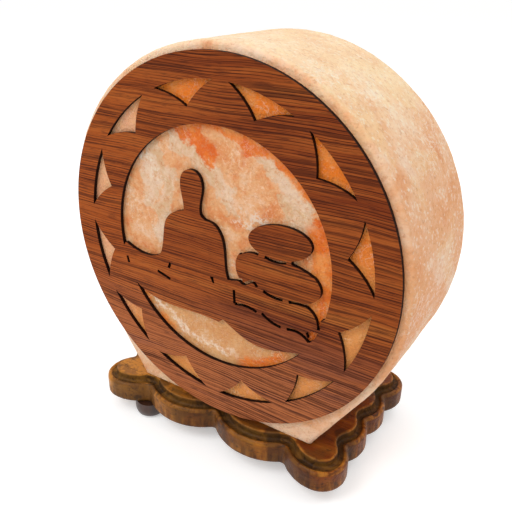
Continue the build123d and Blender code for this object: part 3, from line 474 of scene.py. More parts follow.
def sawn_face(paint, off_x, off_z, radius, mottle, middle, fine):
    """Colour of the front face behind the panel: milky in the picture, orange round its rim, with
    painted glow and painted light in the ray cut-outs.
    """
    face = paint.ramp(middle, [
        (0.38, srgb(224, 132, 72)), (0.46, srgb(230, 152, 94)),
        (0.53, srgb(234, 170, 116)), (0.62, srgb(238, 190, 150))])
    swirl = paint.split(paint.node("ShaderNodeTexNoise", {
        "Vector": paint.place, "Scale": SWIRL_SCALE, "Detail": 5.0, "Roughness": 0.65}, 1))
    bent_x = paint.plus(off_x, paint.swing(swirl[0], SWIRL_REACH))
    bent_z = paint.plus(off_z, paint.swing(swirl[1], SWIRL_REACH))
    wobble = paint.swing(middle, WOBBLE_REACH)
    milk = all_bands(paint, bent_x, bent_z, wobble, MILK_BANDS, 1.0)
    milk = paint.times(milk, paint.steps(fine, 0.36, 0.50, 0.60, 0.90))
    face = paint.mix(milk, face, paint.ramp(middle, [
        (0.42, srgb(222, 184, 142)), (0.58, srgb(236, 204, 176))]))
    grit = all_bands(paint, bent_x, bent_z, wobble, GRIT_BANDS, 1.8)
    grit = paint.times(grit, paint.steps(fine, 0.48, 0.56, 0.0, 0.8))
    face = paint.mix(grit, face, srgb(242, 224, 204))
    facet = paint.cloud(paint.place, FACET_SCALE, detail=6.0, roughness=0.8)
    clump = paint.steps(paint.cloud(paint.place, CLUMP_SCALE, detail=3.0), 0.44, 0.58)
    light = paint.times(paint.steps(facet, 0.54, 0.60, 0.0, 0.55), clump)
    face = paint.mix(light, face, srgb(248, 214, 178))
    dark = paint.times(paint.steps(facet, 0.45, 0.39, 0.0, 0.30), clump)
    face = paint.mix(dark, face, srgb(210, 124, 66))
    lower = paint.steps(off_z, *TAN_HEIGHT)
    tan = paint.ramp(mottle, [(0.40, srgb(212, 144, 82)), (0.60, srgb(228, 174, 116))])
    face = paint.mix(paint.times(lower, 0.85), face, tan)
    wavy = paint.plus(radius, paint.times(wobble, 1.25))
    streak = paint.maths("ABSOLUTE", paint.minus(wavy, STREAK_RADIUS))
    streak = paint.steps(streak, *STREAK_WIDTH, 1.0, 0.0)
    low_left = paint.steps(toward(paint, off_x, off_z, radius, STREAK_SIDE), 0.72, 0.86)
    broken = paint.steps(fine, 0.42, 0.54, 0.2, 1.0)
    streak = paint.times(paint.times(streak, low_left), broken)
    face = paint.mix(streak, face, srgb(244, 214, 186))
    deep = paint.ramp(middle, [
        (0.38, srgb(224, 98, 14)), (0.50, srgb(234, 120, 30)), (0.62, srgb(240, 148, 72))])
    orange = all_bands(paint, bent_x, bent_z, wobble, DEEP_BANDS, 1.2)
    for patch in ORANGE_PATCHES:
        orange = paint.most(orange, rim_patch(paint, off_x, off_z, radius, wavy, *patch))
    orange = paint.times(orange, paint.steps(fine, 0.36, 0.48, 0.85, 1.0))
    face = paint.mix(orange, face, deep)
    # Painted glow: the salt seen through the ray cut-outs is the salt's orange, deepened as if lit
    # from within.
    rays = paint.steps(radius, *RAYS_RADIUS)
    left = paint.steps(toward(paint, off_x, off_z, radius, LIT_RAYS_SIDE), 0.55, 0.80)
    low = paint.steps(off_z, *LOW_RAYS_HEIGHT)
    glow = paint.mix(low, srgb(236, 122, 20), srgb(232, 148, 76))
    # Painted light: the rays on the left are paled toward pink, against the shade that the panel's
    # thickness casts on them.
    glow = paint.mix(left, glow, paint.mix(0.5, face, srgb(252, 196, 158)))
    glow = paint.mix(paint.steps(middle, 0.46, 0.58, 0.0, 0.35), glow, srgb(242, 168, 92))
    return paint.mix(rays, face, glow)


# The veneer's grain: features a metre along X, Y and Z, the pitch of its year lines and how far
# they wander, and the places between which its tints fade.
BAND_GRAIN = (7.0, 0.0, 95.0)
LINE_GRAIN = (10.0, 0.0, 900.0)
SHADE_GRAIN = (8.0, 0.0, 260.0)
PORE_GRAIN = (110.0, 0.0, 2400.0)
GRAIN_PITCH = 1.15 * MM
GRAIN_SWAY = 7.0  # radians
GRAIN_BEND = 6.0 * MM
WARM_REACH = (40.0 * MM, -60.0 * MM)
LOW_REACH = (PANEL_CENTRE.z - 10.0 * MM, PANEL_CENTRE.z - 65.0 * MM)
VENEER_BUMPS = 0.10 * MM


def veneer_paint():
    """Reddish-brown veneer with fine level grain on both faces, and laser-burnt cut walls."""
    paint = Paint("veneer", Specular_IOR_Level=0.08)
    x, _, z = paint.axes()
    bend = paint.cloud(paint.stretched((14.0, 10.0, 30.0)), 1.0, detail=2.0)
    rise = paint.plus(z, paint.swing(bend, GRAIN_BEND))
    bent = paint.node("ShaderNodeCombineXYZ", {"X": x, "Y": 0.0, "Z": rise})
    bands = grain(paint, bent, BAND_GRAIN, 4.0)
    lines = grain(paint, bent, LINE_GRAIN, 4.0)
    shades = grain(paint, bent, SHADE_GRAIN, 6.0)
    pores = grain(paint, bent, PORE_GRAIN, 2.0)
    rings = grain_rings(paint, rise, shades)
    base = paint.ramp(bands, [
        (0.34, srgb(112, 46, 16)), (0.45, srgb(134, 62, 22)),
        (0.55, srgb(150, 74, 28)), (0.66, srgb(160, 88, 36))])
    warm = paint.steps(paint.plus(x, paint.times(z, 0.25)), *WARM_REACH)
    base = paint.mix(paint.times(warm, 0.65), base, srgb(168, 80, 20))
    low = paint.steps(z, *LOW_REACH)
    base = paint.mix(paint.times(low, 0.70), base, srgb(182, 110, 70))
    violet = paint.times(low, paint.steps(bands, 0.50, 0.40))
    base = paint.mix(paint.times(violet, 0.45), base, srgb(124, 76, 66))
    strong = paint.steps(shades, 0.60, 0.44, 0.20, 1.0)
    base = paint.mix(paint.times(rings, strong), base, srgb(54, 16, 6))
    base = paint.mix(paint.steps(lines, 0.49, 0.41, 0.0, 0.64), base, srgb(54, 19, 9))
    base = paint.mix(paint.steps(lines, 0.54, 0.62, 0.0, 0.22), base, srgb(184, 104, 44))
    base = paint.mix(paint.steps(pores, 0.46, 0.38, 0.0, 0.50), base, srgb(48, 18, 12))
    side = paint.maths("ABSOLUTE", paint.facing()[1])
    face = paint.steps(side, 0.80, 0.95)
    char = paint.ramp(pores, [(0.3, srgb(14, 6, 5)), (0.7, srgb(40, 18, 12))])
    paint.colour(paint.mix(face, char, base))
    paint.rough(paint.steps(lines, 0.3, 0.7, 0.60, 0.46))
    paint.relief(paint.plus(lines, paint.times(pores, 0.6)), VENEER_BUMPS, 0.5)
    return paint


def grain_rings(paint, rise, shades):
    """Sharp dark year lines across the height, that wander a little."""
    turn = paint.plus(paint.times(rise, 2 * math.pi / GRAIN_PITCH),
                      paint.swing(shades, GRAIN_SWAY))
    return paint.steps(paint.maths("SINE", turn), 0.50, 0.95)


def grain(paint, vector, scale, detail):
    """Noise on a vector that is stretched along the fibres."""
    long = paint.node("ShaderNodeMapping", {"Vector": vector, "Scale": scale})
    return paint.cloud(long, 1.0, detail=detail, roughness=0.62)


# The level of the stand's groove, and the places between which its tints and its painted light
# fade.
GROOVE_LEVEL = BOARD_HIGH.z - 2.6 * MM
LIT_LEFT_REACH = (-10.0 * MM, -55.0 * MM)
RED_REACH = (10.0 * MM, 55.0 * MM)
FLANK_HEIGHT = (GROOVE_LEVEL - 1.0 * MM, BOARD_LOW.z + 2.0 * MM)
STAND_BUMPS = 0.6 * MM


def carved_paint():
    """Stained wood: red to the right and olive in the carving, with painted light making the left
    golden, painted highlights on the ridges, dark stain with painted shade in the carving, and
    painted shade in the notches.
    """
    paint = Paint("carved_wood", Coat_Weight=0.06, Coat_Roughness=0.25, Specular_IOR_Level=0.12)
    x, _, z = paint.axes()
    rings = paint.cloud(paint.stretched((12.0, 110.0, 70.0), turn=(0.2, 0.1, 0.06)), 1.0,
                        detail=6.0, roughness=0.64, distortion=0.9)
    patches = paint.cloud(paint.place, 75.0, detail=5.0, roughness=0.65)
    smears = paint.cloud(paint.place, 210.0, detail=5.0, roughness=0.68, distortion=0.8)
    pores = paint.cloud(paint.stretched((60.0, 900.0, 700.0)), 1.0, detail=4.0, roughness=0.65)
    base = paint.ramp(rings, [
        (0.34, srgb(82, 42, 10)), (0.45, srgb(118, 64, 16)),
        (0.55, srgb(148, 86, 22)), (0.66, srgb(176, 110, 30))])
    # Painted light: the stand's left side is lightened toward gold.
    left = paint.steps(x, *LIT_LEFT_REACH)
    base = paint.mix(paint.times(left, 0.80), base, srgb(212, 142, 54))
    red = paint.steps(x, *RED_REACH)
    base = paint.mix(paint.times(red, 0.65), base, srgb(112, 44, 10))
    violet = paint.steps(patches, 0.52, 0.60)
    base = paint.mix(paint.times(violet, 0.50), base, srgb(84, 50, 38))
    down = paint.steps(z, *FLANK_HEIGHT)
    strokes = paint.cloud(paint.stretched((420.0, 420.0, 60.0)), 1.0, detail=4.0, roughness=0.6)
    flank = paint.ramp(strokes, [(0.36, srgb(76, 40, 10)), (0.50, srgb(130, 76, 24)),
                                 (0.64, srgb(172, 112, 42))])
    base = paint.mix(paint.times(down, 0.75), base, flank)
    pore = paint.steps(pores, 0.44, 0.34)
    base = paint.mix(paint.times(pore, 0.5), base, srgb(40, 20, 8))
    # Painted highlight: the ridges and the top tier's edge are lightened to gold.
    ridge_highlight = paint.steps(paint.attribute("ridge_highlight"), 0.1, 0.9)
    painted_highlight = paint.times(ridge_highlight, paint.steps(smears, 0.42, 0.60, 0.15, 0.85))
    base = paint.mix(painted_highlight, base, srgb(176, 112, 38))
    # Dark stain and painted shade in the groove: partly stain that collects there, partly the
    # shade that falls in it.
    shaded_groove = paint.steps(paint.attribute("shaded_groove"), 0.05, 0.85)
    dark = paint.ramp(smears, [(0.36, srgb(34, 24, 10)), (0.48, srgb(66, 46, 16)),
                               (0.62, srgb(108, 74, 26))])
    base = paint.mix(paint.times(shaded_groove, 0.78), base, dark)
    # Painted shade in the notches of the outline.
    notch_shade = paint.steps(paint.attribute("notch_shade"), 0.15, 0.9)
    base = paint.mix(paint.times(notch_shade, 0.62), base, srgb(38, 26, 18))
    olive = paint.steps(patches, 0.48, 0.38)
    base = paint.mix(paint.times(olive, 0.35), base, srgb(82, 58, 20))
    soot = paint.steps(smears, 0.45, 0.36)
    base = paint.mix(paint.times(soot, 0.55), base, srgb(40, 28, 16))
    paint.colour(base)
    sheen = paint.steps(pores, 0.3, 0.7, 0.50, 0.36)
    paint.rough(paint.plus(sheen, paint.times(shaded_groove, 0.25)))
    paint.relief(paint.plus(smears, paint.times(pores, 0.5)), STAND_BUMPS, 0.6)
    return paint


# Noise mostly lies between these two values, so ramps over it start and end there.
NOISE_LOW = 0.3
NOISE_HIGH = 0.7


def finished(paint, mottle, dark, light, marks, rough, depth, strength=0.5):
    """Colour from one noise; roughness, given as its two ends, and bumps from another."""
    paint.colour(paint.ramp(mottle, [(NOISE_LOW, dark), (NOISE_HIGH, light)]))
    paint.rough(paint.steps(marks, NOISE_LOW, NOISE_HIGH, *rough))
    paint.relief(marks, depth, strength)
    return paint


def foot_paint():
    """Dark, turned and stained wood."""
    paint = Paint("dark_wood", Coat_Weight=0.3, Coat_Roughness=0.2)
    fibres = paint.cloud(paint.stretched((300.0, 300.0, 40.0)), 1.0, detail=5.0, roughness=0.6)
    return finished(paint, fibres, srgb(30, 16, 11), srgb(72, 40, 24), fibres, (0.5, 0.35),
                    0.15 * MM)


def plain_paint(name, dark, light, rough, scale, depth, **fixed):
    """Material with a fine mottle in its colour, gloss and surface."""
    paint = Paint(name, **fixed)
    mottle = paint.cloud(paint.place, scale, detail=5.0, roughness=0.6)
    return finished(paint, mottle, dark, light, mottle, rough, depth)


def metal_paint(name, dark, light, rough=0.3):
    """Metal with fine drawn marks and a little tarnish."""
    paint = Paint(name, Metallic=1.0)
    marks = paint.cloud(paint.stretched((900.0, 900.0, 120.0)), 1.0, detail=4.0, roughness=0.6)
    tarnish = paint.cloud(paint.place, 260.0, detail=4.0, roughness=0.6)
    return finished(paint, tarnish, dark, light, marks, (rough - 0.07, rough + 0.10),
                    0.03 * MM, 0.4)


def glass_paint():
    """Clear bulb glass with a trace of ripple."""
    paint = Paint("clear_glass", Transmission_Weight=1.0, IOR=1.5, Specular_IOR_Level=0.5)
    ripple = paint.cloud(paint.place, 90.0, detail=2.0)
    return finished(paint, ripple, srgb(246, 250, 249), srgb(253, 254, 254), ripple,
                    (0.0, 0.03), 0.2 * MM, 0.2)


# ---- pieces ----
SALT_VOXEL = 0.9 * MM
SEAT_BAND = 0.8 * MM
BORE_REACH = 21.0 * MM
BORE_ROOM = 30.0 * MM
WEAR_ON_SKIN = 0.8
WEAR_BEHIND_PANEL = 0.12


def rock_salt(paint):
    """The drum of salt: sawn and ground, then worn by handling, with pits and broken crystals."""
    block = skin_of("salt_block", "rock_salt", SALT_VOXEL)
    co, normal = points_of(block)
    across = np.hypot(co[:, 0] - AXIS_X, co[:, 1] - AXIS_Y)
    radius = np.hypot(co[:, 0] - PANEL_CENTRE.x, co[:, 2] - PANEL_CENTRE.z)
    on_front = normal[:, 1] < -0.7
    on_seat = co[:, 2] < SALT_LOW.z + SEAT_BAND
    in_bore = (across < BORE_REACH) & (co[:, 2] < GLASS_HIGH.z + BORE_ROOM) & ~on_front
    sunk = np.array([salt_wear(Vector(p)) for p in co])
    share = np.where(on_front & (radius < PANEL_RADIUS), WEAR_BEHIND_PANEL, WEAR_ON_SKIN)
    share = eased(block.data, share[:, None], 3)[:, 0]
    inside = (in_bore | on_seat).astype(float)
    inside = eased(block.data, inside[:, None], 2)[:, 0]
    co -= normal * (sunk * share * (1 - np.clip(inside * 2, 0, 1)))[:, None]
    set_points(block, np.clip(co, np.array(SALT_LOW), np.array(SALT_HIGH)))
    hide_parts("salt_block")
    return dress(block, "lamp", paint)


# Wear of the drum: waves a metre, a chip's size as a share of its cell, and depths.
SWELL_WAVES = 28.0
ROUGH_WAVES = 160.0
CHIP_WAVES = 120.0
CHIP_CLUSTERS = 40.0
CHIP_SIZE = 0.30
EVEN_WEAR = 0.45 * MM
SWELL_WEAR = 0.35 * MM
ROUGH_WEAR = 0.16 * MM
CHIP_WEAR = 2.4 * MM


def salt_wear(point):
    """Depth in metres by which the drum's surface is worn away at a point."""
    swell = noise.noise(point * SWELL_WAVES)
    rough = noise.fractal(point * ROUGH_WAVES, 1.0, 2.0, 4)
    reach, _ = noise.voronoi(point * CHIP_WAVES)
    cluster = max(0.0, noise.noise(point * CHIP_CLUSTERS + Vector((3, 7, 1))))
    chip = max(0.0, CHIP_SIZE - reach[0]) * cluster
    return EVEN_WEAR + SWELL_WEAR * swell + ROUGH_WEAR * rough + CHIP_WEAR * chip


BOARD_VOXEL = 0.6 * MM
RIDGE_WIDTH = 2.3 * MM
PASSAGE_REACH = 24.0 * MM
WAVES_ON_TOP = 0.35


def carved_stand(paint):
    """The stand with its carving softened by hand: small waves and tool marks along the sides."""
    board = skin_of("base_board", "carved_stand", BOARD_VOXEL)
    co, normal = points_of(board)
    across = np.hypot(co[:, 0] - AXIS_X, co[:, 1] - AXIS_Y)
    fixed = (across < PASSAGE_REACH) | (normal[:, 2] < -0.8)
    sunk = np.array([tool_marks(Vector(p)) for p in co])
    level_top = normal[:, 2] > 0.9
    share = np.where(fixed, 0.0, np.where(level_top, WAVES_ON_TOP, 1.0))
    share = eased(board.data, share[:, None], 2)[:, 0]
    co -= normal * (sunk * share)[:, None]
    set_points(board, np.clip(co, np.array(BOARD_LOW), np.array(BOARD_HIGH)))
    carving_maps(board, co)
    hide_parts("base_board")
    return dress(board, "lamp", paint)


# The stand's carving: heights and widths of its bands, sectors round its outline, and how many
# sectors to each side a notch is measured against.
RIDGE_DROP = 1.6 * MM
TOP_SKIN = 0.7 * MM
STEP_WIDTH = 3.6 * MM
SECTORS = 720
LOBE_SECTORS = 14
NOTCH_DEPTH = 6.0 * MM
NOTCH_REACH = 9.0 * MM


def carving_maps(board, co):
    """Point attributes: the groove along the rim, for its dark stain and painted shade; the ridges
    beside it, for painted highlights; and the notches, for painted shade.
    """
    reach = edge_distance(board, co)
    high = co[:, 2] > GROOVE_LEVEL - RIDGE_DROP
    top = co[:, 2] > BOARD_HIGH.z - TOP_SKIN
    # The groove band, which takes dark stain and painted shade.
    shaded_groove = high & ~top & (reach > RIDGE_WIDTH)
    # The ridge and the top tier's edge take the painted highlight.
    ridge_highlight = high & (reach < RIDGE_WIDTH)
    step = top & (reach < RIDGE_WIDTH + STEP_WIDTH)
    across, sector, outermost = outline_sectors(co)
    shifts = range(-LOBE_SECTORS, LOBE_SECTORS + 1)
    nearby = np.max([np.roll(outermost, shift) for shift in shifts], axis=0)
    # How far each sector sinks below its neighbours, which sets the painted shade in the notches.
    notch = np.clip((nearby - outermost) / NOTCH_DEPTH, 0, 1)
    notch_shade = notch[sector] * (across > outermost[sector] - NOTCH_REACH)
    for name, mask in (("shaded_groove", shaded_groove), ("ridge_highlight", ridge_highlight | step), ("notch_shade", notch_shade)):
        value = eased(board.data, mask.astype(float)[:, None], 3)[:, 0]
        made = board.data.attributes.new(name, "FLOAT", "POINT")
        made.data.foreach_set("value", value.astype(np.float32))


def outline_sectors(co):
    """Distance from the stand's middle, number of the sector, and each sector's reach."""
    centre = (BOARD_LOW + BOARD_HIGH) / 2
    across = np.hypot(co[:, 0] - centre.x, co[:, 1] - centre.y)
    turn = np.arctan2(co[:, 1] - centre.y, co[:, 0] - centre.x)
    sector = np.clip(((turn / math.pi + 1) * SECTORS / 2).astype(int), 0, SECTORS - 1)
    outermost = np.zeros(SECTORS)
    np.maximum.at(outermost, sector, across)
    return across, sector, outermost


WALL_BAND = 2.0 * MM
WALL_REACH = 4.0 * MM


def edge_distance(board, co):
    """Level distance of every point from the stand's outer wall."""
    _, normal = points_of(board)
    across, sector, outermost = outline_sectors(co)
    middle = (BOARD_LOW.z + GROOVE_LEVEL) / 2
    wall = (abs(normal[:, 2]) < 0.3) & (abs(co[:, 2] - middle) < WALL_BAND)
    wall &= across > outermost[sector] - WALL_REACH
    tree = kdtree.KDTree(int(wall.sum()))
    for number, index in enumerate(np.flatnonzero(wall)):
        tree.insert((co[index, 0], co[index, 1], 0.0), number)
    tree.balance()
    return np.array([tree.find((p[0], p[1], 0.0))[2] for p in co])


GOUGE_WAVES = Vector((260.0, 260.0, 35.0))
HAND_WAVES = 70.0
EVEN_CUT = 0.12 * MM
HAND_CUT = 0.10 * MM
GOUGE_CUT = 0.16 * MM


def tool_marks(point):
    """Depth of the carving's waves and gouge marks at a point of the stand."""
    gouge = abs(noise.noise(point * GOUGE_WAVES))
    wave = noise.noise(point * HAND_WAVES)
    return EVEN_CUT + HAND_CUT * wave + GOUGE_CUT * gouge


# ---- threads ----
THREAD_PITCH = 2.82 * MM
THREAD_SIDES = 72
STEPS_PER_TURN = 20
BULB_CAP_WALL = 0.25 * MM
BULB_CAP_THREAD_DEPTH = 0.30 * MM
BULB_CAP_PLAIN_FOOT = 1.0 * MM
BULB_CAP_PLAIN_TOP = 5.0 * MM
SHELL_SHEET = 0.20 * MM
SHELL_PLAIN_FOOT = 1.5 * MM
SHELL_WALL = 0.5 * MM
SHELL_FLOOR = 3.0 * MM


def threaded_sleeve(name, outer, inner, low, high, wave_low, wave_high, depth):
    """Thin rolled tube whose wall waves in and out as a screw thread between two heights."""
    rows = int((high - low) / THREAD_PITCH * STEPS_PER_TURN) + 1
    verts = []
    for skin in (outer, inner):
        for row in range(rows + 1):
            z = low + (high - low) * row / rows
            fade = min(1.0, max(0.0, (z - wave_low) / THREAD_PITCH + 0.5))
            fade *= min(1.0, max(0.0, (wave_high - z) / THREAD_PITCH + 0.5))
            for side in range(THREAD_SIDES):
                angle = 2 * math.pi * side / THREAD_SIDES
                wave = math.cos(2 * math.pi * (z - CAP_LOW.z) / THREAD_PITCH - angle)
                reach = skin - fade * depth * (0.5 - 0.5 * wave)
                verts.append((AXIS_X + reach * math.cos(angle),
                              AXIS_Y + reach * math.sin(angle), z))
    layer = (rows + 1) * THREAD_SIDES
    faces = []
    for row in range(rows):
        for side in range(THREAD_SIDES):
            after = (side + 1) % THREAD_SIDES
            a = row * THREAD_SIDES + side
            b = row * THREAD_SIDES + after
            faces.append((a, b, b + THREAD_SIDES, a + THREAD_SIDES))
            faces.append((layer + b, layer + a,
                          layer + a + THREAD_SIDES, layer + b + THREAD_SIDES))
    top = rows * THREAD_SIDES
    for side in range(THREAD_SIDES):
        after = (side + 1) % THREAD_SIDES
        faces.append((after, side, layer + side, layer + after))
        faces.append((top + side, top + after, layer + top + after, layer + top + side))
    return add_object(name, verts, faces)


def bulb_cap_thread(paint):
    """The bulb's screw cap: a rolled sheet with a plain rim at both ends."""
    radius = (CAP_HIGH.x - CAP_LOW.x) / 2
    cap = threaded_sleeve(
        "bulb_cap_thread", radius, radius - BULB_CAP_WALL, CAP_LOW.z, CAP_HIGH.z,
        CAP_LOW.z + BULB_CAP_PLAIN_FOOT, CAP_HIGH.z - BULB_CAP_PLAIN_TOP,
        BULB_CAP_THREAD_DEPTH)
    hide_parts("bulb_cap")
    return dress(cap, "bulb", paint)


def shell_thread(paint):
    """The holder's threaded shell: a rolled brass tube on the ring that is riveted down."""
    radius = (SHELL_HIGH.x - SHELL_LOW.x) / 2
    inner = radius - SHELL_SHEET
    shell = threaded_sleeve(
        "shell_thread", radius, inner, SHELL_LOW.z, SHELL_HIGH.z,
        SHELL_LOW.z + SHELL_PLAIN_FOOT, SHELL_HIGH.z, SHELL_WALL - SHELL_SHEET)
    ring_top = SHELL_LOW.z + SHELL_WALL
    ring = lathe([(radius - SHELL_FLOOR, SHELL_LOW.z), (inner, SHELL_LOW.z),
                  (inner, ring_top), (radius - SHELL_FLOOR, ring_top)], THREAD_SIDES)
    join_meshes(shell, [((AXIS_X, AXIS_Y), ring)])
    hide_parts("threaded_shell")
    return dress(shell, "holder", paint)


def lathe(profile, sides):
    """Points and faces of a closed ring turned about the Z axis from (radius, z) points."""
    count = len(profile)
    verts = []
    for side in range(sides):
        angle = 2 * math.pi * side / sides
        verts += [(r * math.cos(angle), r * math.sin(angle), z) for r, z in profile]
    faces = []
    for side in range(sides):
        here = side * count
        there = (side + 1) % sides * count
        for i in range(count):
            j = (i + 1) % count
            faces.append((here + i, there + i, there + j, here + j))
    return verts, faces


def join_meshes(obj, parts):
    """Adds parts, each a level place with its points and faces, to an object's mesh."""
    verts = [tuple(v.co) for v in obj.data.vertices]
    faces = [tuple(f.vertices) for f in obj.data.polygons]
    for (x, y), (more, sides) in parts:
        first = len(verts)
        verts += [(px + x, py + y, pz) for px, py, pz in more]
        faces += [tuple(first + i for i in side) for side in sides]
    mesh = bpy.data.meshes.new(obj.name)
    mesh.from_pydata(verts, [], faces)
    mesh.validate()
    obj.data = mesh
    mesh.polygons.foreach_set("use_smooth", [False] * len(mesh.polygons))


# Screws: node, body, slot, shank radius, head radius, head height, slot width, thread pitch.
SCREWS = [
    ("foot_screws", "lamp", "steel", 1.5 * MM, 2.8 * MM, 1.6 * MM, 0.8 * MM, 1.1 * MM),
    ("salt_screws", "lamp", "steel", 2.0 * MM, 4.0 * MM, 2.4 * MM, 1.0 * MM, 1.5 * MM),
    ("terminal_screws", "holder", "brass", 1.25 * MM, 2.2 * MM, 1.4 * MM, 0.6 * MM, 0.45 * MM),
]


HEAD_SKIN = 0.05 * MM
SAME_HEAD = 2.2  # points of one head lie closer together than this many head radii


def screw_places(node, head_radius):
    """Level places of the screws in a node, from the lowest points of its heads."""
    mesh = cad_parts[node].data
    co = np.empty(len(mesh.vertices) * 3)
    mesh.vertices.foreach_get("co", co)
    co = co.reshape(-1, 3)
    low = co[co[:, 2] < co[:, 2].min() + HEAD_SKIN]
    groups = []
    for point in low:
        for group in groups:
            if np.hypot(*(group[0][:2] - point[:2])) < SAME_HEAD * head_radius:
                group.append(point)
                break
        else:
            groups.append([point])
    return [tuple((np.min(group, axis=0) + np.max(group, axis=0))[:2] / 2) for group in groups]


# A slotted screw's sides and rows, with depths as shares of its other sizes.
SHANK_SIDES = 32
HEAD_SIDES = 40
ROWS_PER_THREAD = 8
THREAD_SHARE = 0.18  # of the shank's radius
POINT_SHARE = 0.1  # of the shank's radius
SLOT_SHARE = 0.45  # of the head's height


def circle(radius, z, count):
    turns = [2 * math.pi * i / count for i in range(count)]
    return [(radius * math.cos(turn), radius * math.sin(turn), z) for turn in turns]


def stacked(first, count):
    """Faces of a prism between two outlines of count points, the second right after the first."""
    faces = [tuple(first + i for i in reversed(range(count))),
             tuple(first + count + i for i in range(count))]
    for i in range(count):
        j = (i + 1) % count
        faces.append((first + i, first + j, first + count + j, first + count + i))
    return faces


def slotted_screw(shank, head, height, slot, pitch, low, high):
    """Points and faces of a screw, head down: threaded shank, pointed tip, slotted head."""
    verts = []
    faces = []
    seat = low + height
    sides = SHANK_SIDES
    rows = int((high - seat) / pitch * ROWS_PER_THREAD)
    for row in range(rows + 1):
        z = seat + (high - seat) * row / rows
        taper = min(1.0, (high - z) / shank + POINT_SHARE)
        for side in range(sides):
            angle = 2 * math.pi * side / sides
            wave = 0.5 + 0.5 * math.cos(2 * math.pi * z / pitch - angle)
            reach = shank * taper * (1 - THREAD_SHARE + THREAD_SHARE * wave)
            verts.append((reach * math.cos(angle), reach * math.sin(angle), z))
    for row in range(rows):
        for side in range(sides):
            a = row * sides + side
            b = row * sides + (side + 1) % sides
            faces.append((a, b, b + sides, a + sides))
    faces.append(tuple(reversed(range(sides))))
    faces.append(tuple(range(rows * sides, (rows + 1) * sides)))
    start = math.asin(slot / 2 / head)
    floor = low + SLOT_SHARE * height
    steps = HEAD_SIDES // 2
    for side in (0.0, math.pi):
        arc = [side + start + (math.pi - 2 * start) * i / steps for i in range(steps + 1)]
        faces += stacked(len(verts), len(arc))
        for z in (low, floor):
            verts += [(head * math.cos(turn), head * math.sin(turn), z) for turn in arc]
    faces += stacked(len(verts), HEAD_SIDES)
    verts += circle(head, floor, HEAD_SIDES) + circle(head, seat, HEAD_SIDES)
    return verts, faces


def screws(paints):
    """Every node of screws, replaced by slotted ones with a thread."""
    for node, body, slot, shank, head, height, width, pitch in SCREWS:
        low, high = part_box(node)
        shape = slotted_screw(shank, head, height, width, pitch, low.z, high.z)
        obj = add_object("slotted_" + node, [], [], smooth=False)
        join_meshes(obj, [(place, shape) for place in screw_places(node, head)])
        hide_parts(node)
        dress(obj, body, paints[slot])


HOLDER_VOXEL = 0.35 * MM
RIB_COUNT = 40
RIB_DEPTH = 0.35 * MM
RIB_FOOT = 2.4 * MM
RIB_TOP = 9.4 * MM
RIB_FADE = 0.6 * MM
RIB_SKIN = 0.7 * MM
RIB_SKIN_FADE = 0.5 * MM
RIB_ROUNDNESS = 0.7


def ribbed_cap(paint):
    """The holder's cap with a band of grip ribs below the clip."""
    cap = skin_of("holder_cap", "ribbed_cap", HOLDER_VOXEL)
    cap_low, cap_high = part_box("holder_cap")
    radius = (cap_high.x - cap_low.x) / 2
    co, _ = points_of(cap)
    off = co[:, :2] - np.array([AXIS_X, AXIS_Y])
    across = np.hypot(off[:, 0], off[:, 1])
    turn = np.arctan2(off[:, 1], off[:, 0])
    rise = co[:, 2] - cap_low.z
    band = np.clip((rise - RIB_FOOT) / RIB_FADE, 0, 1) * np.clip((RIB_TOP - rise) / RIB_FADE, 0, 1)
    outside = np.clip((across - radius + RIB_SKIN) / RIB_SKIN_FADE, 0, 1)
    groove = (0.5 - 0.5 * np.cos(turn * RIB_COUNT)) ** RIB_ROUNDNESS
    co[:, :2] -= off / across[:, None] * (RIB_DEPTH * band * outside * groove)[:, None]
    set_points(cap, np.clip(co, np.array(cap_low), np.array(cap_high)))
    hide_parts("holder_cap")
    return dress(cap, "holder", paint)


# ---- stage ----
FLOOR_REACH = 6.0
FLOOR_COLOUR = (0.86, 0.86, 0.86, 1.0)
FLOOR_LIFT = 0.36
WORLD_COLOUR = (1.0, 0.99, 0.98, 1.0)
WORLD_LIGHT = 0.75
WHITE = (1.0, 1.0, 1.0, 1.0)

# Softboxes: name, place, length of a side, and power in watts.
SOFTBOXES = [
    ("key_light", (-0.35, -0.75, 1.00), 0.7, 6.0),
    ("fill_light", (0.45, 0.35, 1.05), 0.8, 3.0),
]


def larger(tree, first, second):
    made = tree.nodes.new("ShaderNodeMath")
    made.operation = "MAXIMUM"
    tree.links.new(first, made.inputs[0])
    tree.links.new(second, made.inputs[1])
    return made.outputs[0]


def white_to_the_eye(tree):
    """1 where a camera, glossy or transmission ray looks, 0 for light that falls on things."""
    path = tree.nodes.new("ShaderNodeLightPath").outputs
    seen = larger(tree, path["Is Camera Ray"], path["Is Glossy Ray"])
    return larger(tree, seen, path["Is Transmission Ray"])


